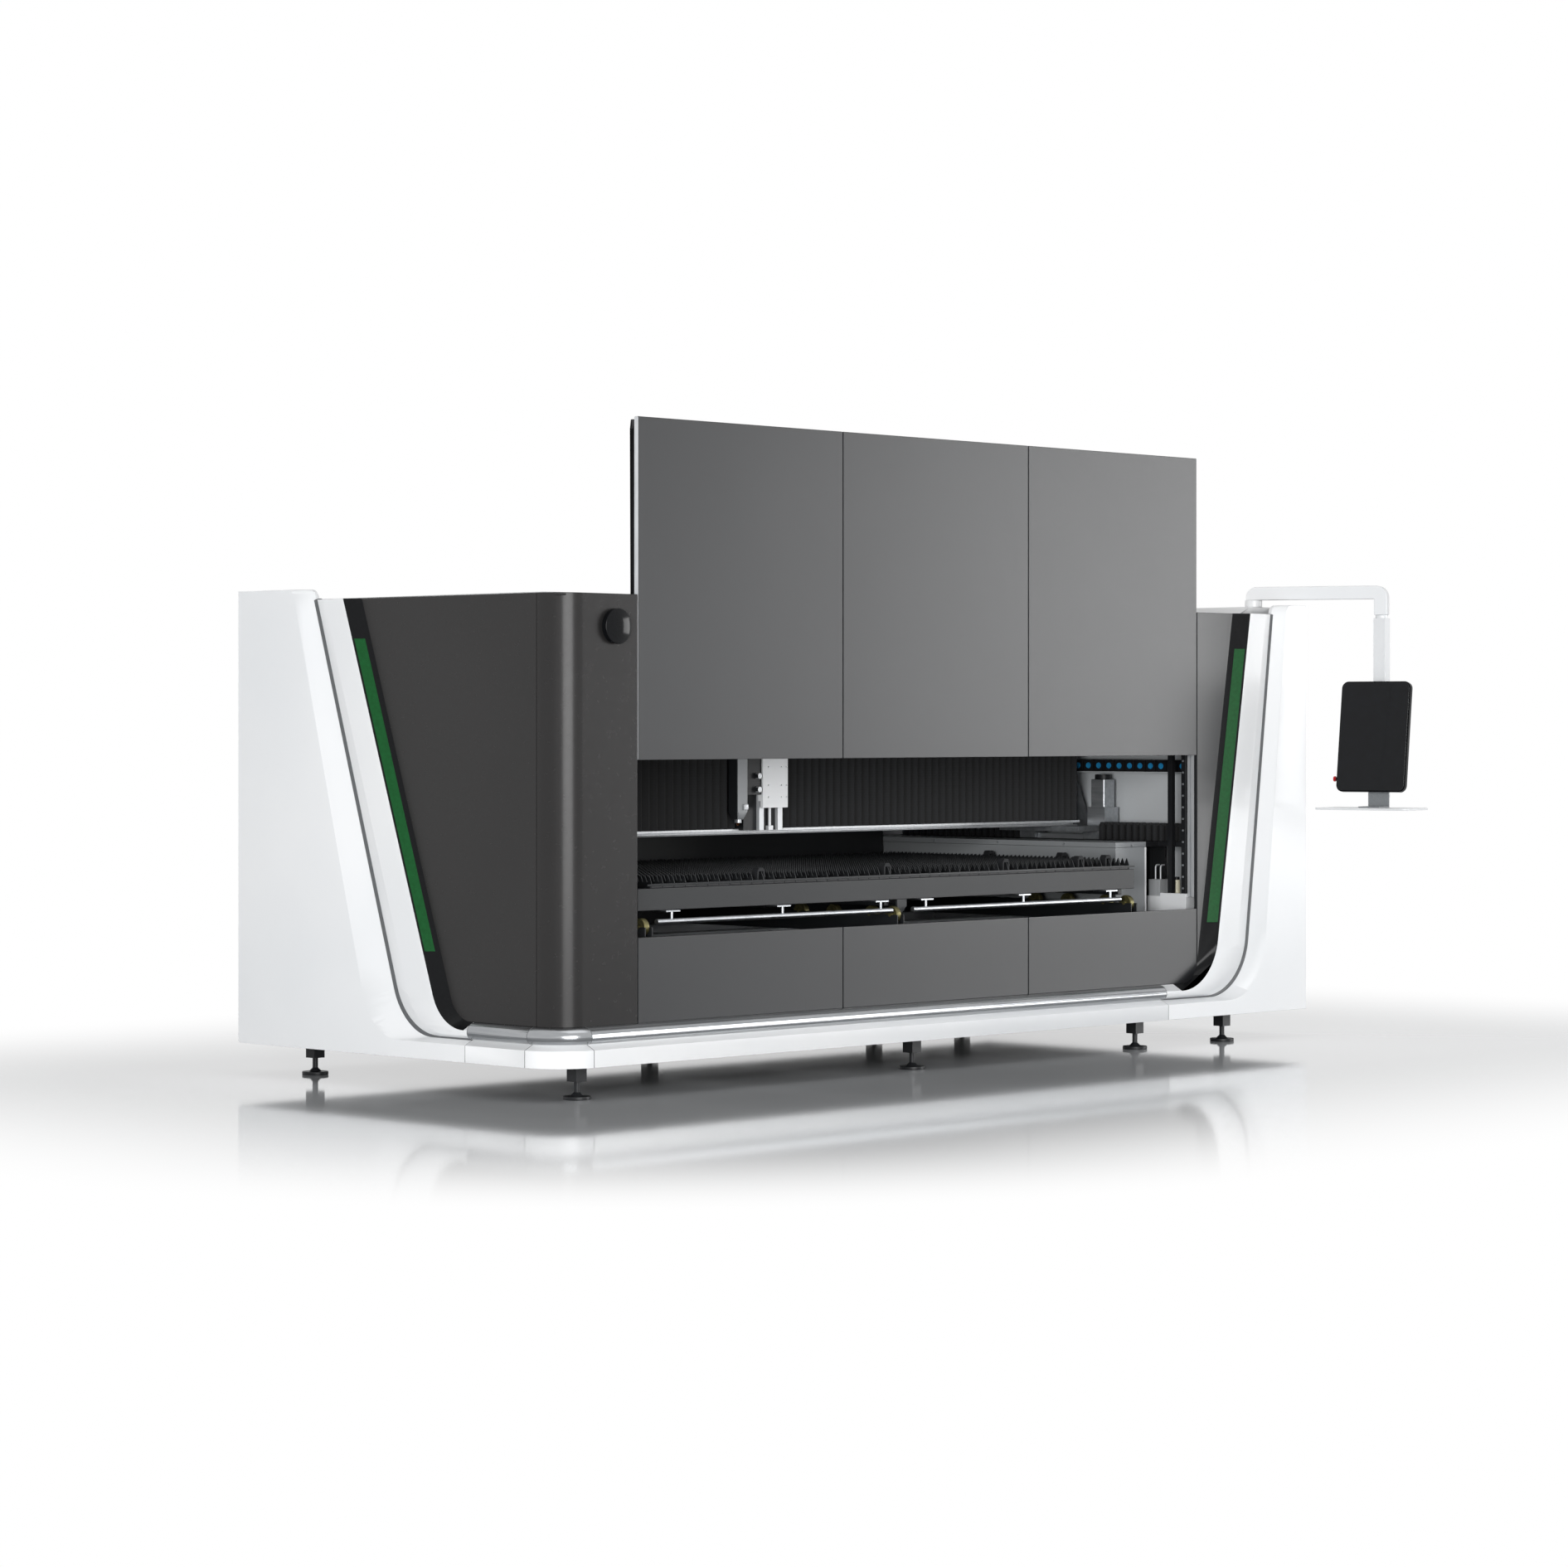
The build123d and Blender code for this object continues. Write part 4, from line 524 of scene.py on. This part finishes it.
# cap screws: a turned head with a socket, once per row and copied
socket = dict(rim=0.45, depth=0.6)  # shares of the head's radius and rise
screwRows = {
    "flange_screws_right": dict(start=(3790, 150, 947), step=(0, 420, 0), count=5,
                                head=6, rise=4, turn=(0, -90, 0)),
    "flange_screws_left": dict(start=(530, 150, 947), step=(0, 420, 0), count=5,
                               head=6, rise=4, turn=(0, 90, 0)),
    "post_screws_right": dict(start=(4079.6, 75, 740), step=(0, 0, 55), count=24,
                              head=5, rise=3, turn=(0, -90, 0)),
    "post_screws_left": dict(start=(446.5, 75, 740), step=(0, 0, 55), count=24,
                             head=5, rise=3, turn=(0, 90, 0)),
}
for rowName, row in screwRows.items():
    bpy.ops.object.select_all(action="DESELECT")
    bpy.ops.mesh.primitive_cylinder_add(vertices=12, radius=row["head"] / 1000, depth=row["rise"] / 1000,
                                        location=(0, 0, row["rise"] / 2000))
    screws = bpy.context.object
    bpy.ops.object.transform_apply(location=True)
    bpy.ops.object.mode_set(mode="EDIT")
    bpy.ops.mesh.select_mode(type="FACE")
    bpy.ops.mesh.select_all(action="DESELECT")
    bpy.ops.object.mode_set(mode="OBJECT")
    for face in screws.data.polygons:
        face.select = face.normal.z > 0.9
    bpy.ops.object.mode_set(mode="EDIT")
    bpy.ops.mesh.inset(thickness=row["head"] * socket["rim"] / 1000)
    sink = row["rise"] * socket["depth"] / 1000
    bpy.ops.mesh.extrude_region_move(TRANSFORM_OT_translate={"value": (0, 0, -sink)})
    bpy.ops.object.mode_set(mode="OBJECT")
    screws.rotation_euler = [math.radians(angle) for angle in row["turn"]]
    screws.location = at(*row["start"])
    bpy.ops.object.transform_apply(location=True, rotation=True)
    spread(screws, [Vector(row["step"]) * index / 1000 for index in range(1, row["count"])])
    settle(screws, rowName, "groundSteel", "frame")
print("screw rows:", len(screwRows))

# flat bars, plates and strips: a block drawn out to size, its edges rounded over
bars = {
    "comb_rail": dict(low=(602, 116.0, 848), high=(3768, 118.2, 856), edge=0.6,
                      finish="darkGreyPowderCoat", body="table", slot="dark_grey_paint"),
    "bed_edge_right": dict(low=(4005, 246.5, 336), high=(4015, 249.8, 934), edge=0.8,
                           finish="whitePowderCoat", body="frame", slot="white_paint"),
    "bed_edge_left": dict(low=(305, 246.5, 336), high=(315, 249.8, 934), edge=0.8,
                          finish="whitePowderCoat", body="frame", slot="white_paint"),
    "head_clamp": dict(low=(1746, 689.5, 1138), high=(1772, 699, 1164), edge=2.5,
                       finish="anodisedAluminium", body="head", slot="bright_aluminium"),
    # the left front cap takes the darker graphite copy as painted shade
    "front_cap_left": dict(low=(23, 22, 2038), high=(358, 109, 2046), edge=1.5,
                           finish="shadedGraphitePowderCoat", body="frame", slot="graphite_paint"),
    "front_cap_right": dict(low=(4168, 22, 2038), high=(4838, 109, 2046), edge=1.5,
                            finish="graphitePowderCoat", body="frame", slot="graphite_paint"),
    "rear_seam_left": dict(low=(3199, 1969, 140), high=(3259, 1974.8, 2046), edge=1.0,
                           finish="darkGreyPowderCoat", body="frame", slot="dark_grey_paint"),
    "rear_seam_right": dict(low=(1586, 1969, 140), high=(1646, 1974.8, 2046), edge=1.0,
                            finish="darkGreyPowderCoat", body="frame", slot="dark_grey_paint"),
}
for barName, bar in bars.items():
    low, high = at(*bar["low"]), at(*bar["high"])
    bpy.ops.object.select_all(action="DESELECT")
    bpy.ops.mesh.primitive_cube_add(size=1.0, location=(low + high) / 2, scale=high - low)
    piece = bpy.context.object
    bpy.ops.object.transform_apply(location=True, rotation=True, scale=True)
    bpy.ops.object.modifier_add(type="BEVEL")
    piece.modifiers[-1].width = bar["edge"] / 1000
    piece.modifiers[-1].segments = 3
    bpy.ops.object.modifier_apply(modifier=piece.modifiers[-1].name)
    settle(piece, barName, bar["finish"], bar["body"])
print("flat bars:", len(bars))


# grey strips lie in the groove between each leg's band and its shell as painted shade
def grooveShadeStrip(name, path, radiusMm):
    bpy.ops.object.select_all(action="DESELECT")
    bpy.ops.curve.primitive_nurbs_path_add()
    strip = bpy.context.object
    strip.data.splines.clear()
    line = strip.data.splines.new("POLY")
    line.points.add(len(path) - 1)
    for point, place in zip(line.points, path):
        point.co = (*place, 1)
    strip.data.bevel_depth = radiusMm / 1000
    strip.data.bevel_resolution = 3
    strip.data.use_fill_caps = True
    bpy.ops.object.convert(target="MESH")
    settle(strip, name, "jointAndGrooveShadeGrey", "frame")


# the groove line stands 19 mm proud of the panels
grooveShadeStrips = dict(depth=19.0, reach=0.4, sink=10.0, radius=18.0)
# one grey round strip down each leg's groove as painted shade
for side, trimName, axis in (("left", "left_trim", 0), ("right", "right_trim", 1)):
    trim = nodes[trimName].data
    face = at(-grooveShadeStrips["depth"], -grooveShadeStrips["depth"], 0)[axis]
    groove = {}
    for vert in trim.vertices:
        if abs(vert.co[axis] - face) < grooveShadeStrips["reach"] / 1000:
            groove[tuple(round(c, 4) for c in vert.co)] = vert.co.copy()
    path = sorted(groove.values(), key=lambda p: (-p.z, p[1 - axis] * (1 if axis else -1)))
    for point in path:
        point[axis] += grooveShadeStrips["sink"] / 1000
    grooveShadeStrip(side + "_groove_shade_strip", path, grooveShadeStrips["radius"])
print("groove seals: both legs")

# pleated covers: folds counted at their pitch between the two ends, and each point given its place between
# crest and valley
folds = {
    "beam_bellows_left": dict(still="gantry", moves="carriage", start=(166, 800, 1200),
                              end=(1796, 800, 1200), pitch=48),
    "beam_bellows_right": dict(still="gantry", moves="carriage", start=(4154, 800, 1200),
                               end=(2046, 800, 1200), pitch=48),
    "front_rail_bellows": dict(still="frame", moves="gantry", start=(2160, 110, 1000),
                               end=(2160, 640, 1000), pitch=41),
    "rear_rail_bellows": dict(still="frame", moves="gantry", start=(2160, 1940, 1000),
                              end=(2160, 1147, 1000), pitch=41),
}
for nodeName, fold in folds.items():
    piece = skin(nodeName, "bellowsCloth", 1.5, ride=False)
    start, end = at(*fold["start"]), at(*fold["end"])
    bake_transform(piece)
    along = end - start
    shares = [min(max((vert.co - start).dot(along) / along.length_squared, 0), 1)
              for vert in piece.data.vertices]
    count = round(along.length * 1000 / fold["pitch"])
    # crest measure that places the cloth's painted highlight and painted shade
    crests = piece.data.attributes.new("crest", "FLOAT", "POINT")
    crests.data.foreach_set("value", [1 - abs(2 * (share * count % 1) - 1) for share in shares])
    dressed[nodeName] = piece
print("pleated covers:", len(folds))

# plain pale studio: the floor keeps the shadow and a mirror image near the machine, then turns white
studio = dict(floorSize=120.0, floorColour="#CBCDCF", floorRough=0.07, halfWidth=2.5, halfDepth=1.2,
              fadeFrom=0.6, fadeTo=3.2, ambient=0.34)
bpy.ops.mesh.primitive_plane_add(size=studio["floorSize"], location=(0, 0, 0))
floor = bpy.context.object
floor.name = "studioFloor"
floorFinish, tree, shader, place = newFinish("paleStudioFloor")
shader.inputs["Base Color"].default_value = hexLinear(studio["floorColour"])
shader.inputs["Roughness"].default_value = studio["floorRough"]
away = addNode(tree, "ShaderNodeVectorMath", None, {0: place}, operation="ABSOLUTE")
away = addNode(tree, "ShaderNodeVectorMath", {1: (studio["halfWidth"], studio["halfDepth"], 0)},
               {0: away.outputs["Vector"]}, operation="SUBTRACT")
away = addNode(tree, "ShaderNodeVectorMath", {1: (0, 0, 0)}, {0: away.outputs["Vector"]}, operation="MAXIMUM")
away = addNode(tree, "ShaderNodeVectorMath", None, {0: away.outputs["Vector"]}, operation="LENGTH")
fade = addNode(tree, "ShaderNodeMapRange", {"From Min": studio["fadeFrom"], "From Max": studio["fadeTo"]},
               {"Value": away.outputs["Value"]}, interpolation_type="SMOOTHSTEP")
glow = addNode(tree, "ShaderNodeEmission", {"Color": (1, 1, 1, 1), "Strength": 1.0})
rays = addNode(tree, "ShaderNodeLightPath")
seen = addNode(tree, "ShaderNodeMath", None,
               {0: rays.outputs["Is Camera Ray"], 1: rays.outputs["Is Glossy Ray"]}, operation="MAXIMUM")
share = addNode(tree, "ShaderNodeMath", None, {0: fade.outputs["Result"], 1: seen.outputs["Value"]},
                operation="MULTIPLY")
mixed = addNode(tree, "ShaderNodeMixShader", None,
                {0: share.outputs["Value"], 1: shader.outputs["BSDF"], 2: glow.outputs["Emission"]})
tree.links.new(mixed.outputs["Shader"], tree.nodes["Material Output"].inputs["Surface"])
floor.data.materials.append(floorFinish)
floor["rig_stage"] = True

# white to the eye and in reflections, soft on the machine itself
world = bpy.data.worlds.new("studioWorld")
bpy.context.scene.world = world
world.use_nodes = True
tree = world.node_tree
rays = addNode(tree, "ShaderNodeLightPath")
shown = addNode(tree, "ShaderNodeMath", None,
                {0: rays.outputs["Is Camera Ray"], 1: rays.outputs["Is Glossy Ray"]}, operation="MAXIMUM")
shown = addNode(tree, "ShaderNodeMath", None,
                {0: shown.outputs["Value"], 1: rays.outputs["Is Transmission Ray"]}, operation="MAXIMUM")
level = addNode(tree, "ShaderNodeMapRange", {"To Min": studio["ambient"], "To Max": 1.0},
                {"Value": shown.outputs["Value"]})
tree.links.new(level.outputs["Result"], tree.nodes["Background"].inputs["Strength"])
tree.nodes["Background"].inputs["Color"].default_value = (1, 1, 1, 1)

# soft boxes; some only light matt surfaces and some only show in gloss, as flags and cutters do in a studio
lamps = {
    "keyLamp": dict(place=(-9000, -6500, 1700), aim=(2000, 400, 1000),
                    size=4.0, watts=1300, gloss=False, matt=True),
    "fillLamp": dict(place=(6000, -9500, 2500), aim=(4000, 0, 1000),
                     size=5.0, watts=240, gloss=False, matt=True),
    "rightLamp": dict(place=(13500, -7400, 2400), aim=(3000, 0, 1400),
                      size=5.0, watts=480, gloss=True, matt=False),
    "sideLamp": dict(place=(13500, -7400, 2400), aim=(3000, 0, 1400),
                     size=5.0, watts=260, gloss=False, matt=True),
    "cornerLamp": dict(place=(-2900, -9000, 1500), aim=(0, 0, 1000),
                       size=6.0, watts=900, gloss=True, matt=False),
    "topLamp": dict(place=(2400, -1200, 8000), aim=(2400, 800, 0),
                    size=6.0, watts=100, gloss=True, matt=True),
}
for lampName, look in lamps.items():
    bpy.ops.object.light_add(type="AREA", location=at(*look["place"]))
    lamp = bpy.context.object
    lamp.name = lampName
    lamp.data.size = look["size"]
    lamp.data.energy = look["watts"]
    lamp.visible_glossy = look["gloss"]
    lamp.visible_diffuse = look["matt"]
    lamp.rotation_euler = (at(*look["aim"]) - at(*look["place"])).to_track_quat("-Z", "Y").to_euler()
print("studio ready")

# camera stands level at eye height off the front left corner
lens = dict(place=(-10850, -11860, 1515), turn=-45.67, focal=91.97, shiftY=-0.0372)
bpy.ops.object.camera_add(location=at(*lens["place"]), rotation=(math.pi / 2, 0, math.radians(lens["turn"])))
camera = bpy.context.object
camera.data.sensor_width = 36.0
camera.data.lens = lens["focal"]
camera.data.shift_y = lens["shiftY"]
camera.data.clip_end = 200.0
bpy.context.scene.camera = camera
bpy.context.scene.view_settings.view_transform = "Standard"

low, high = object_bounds()
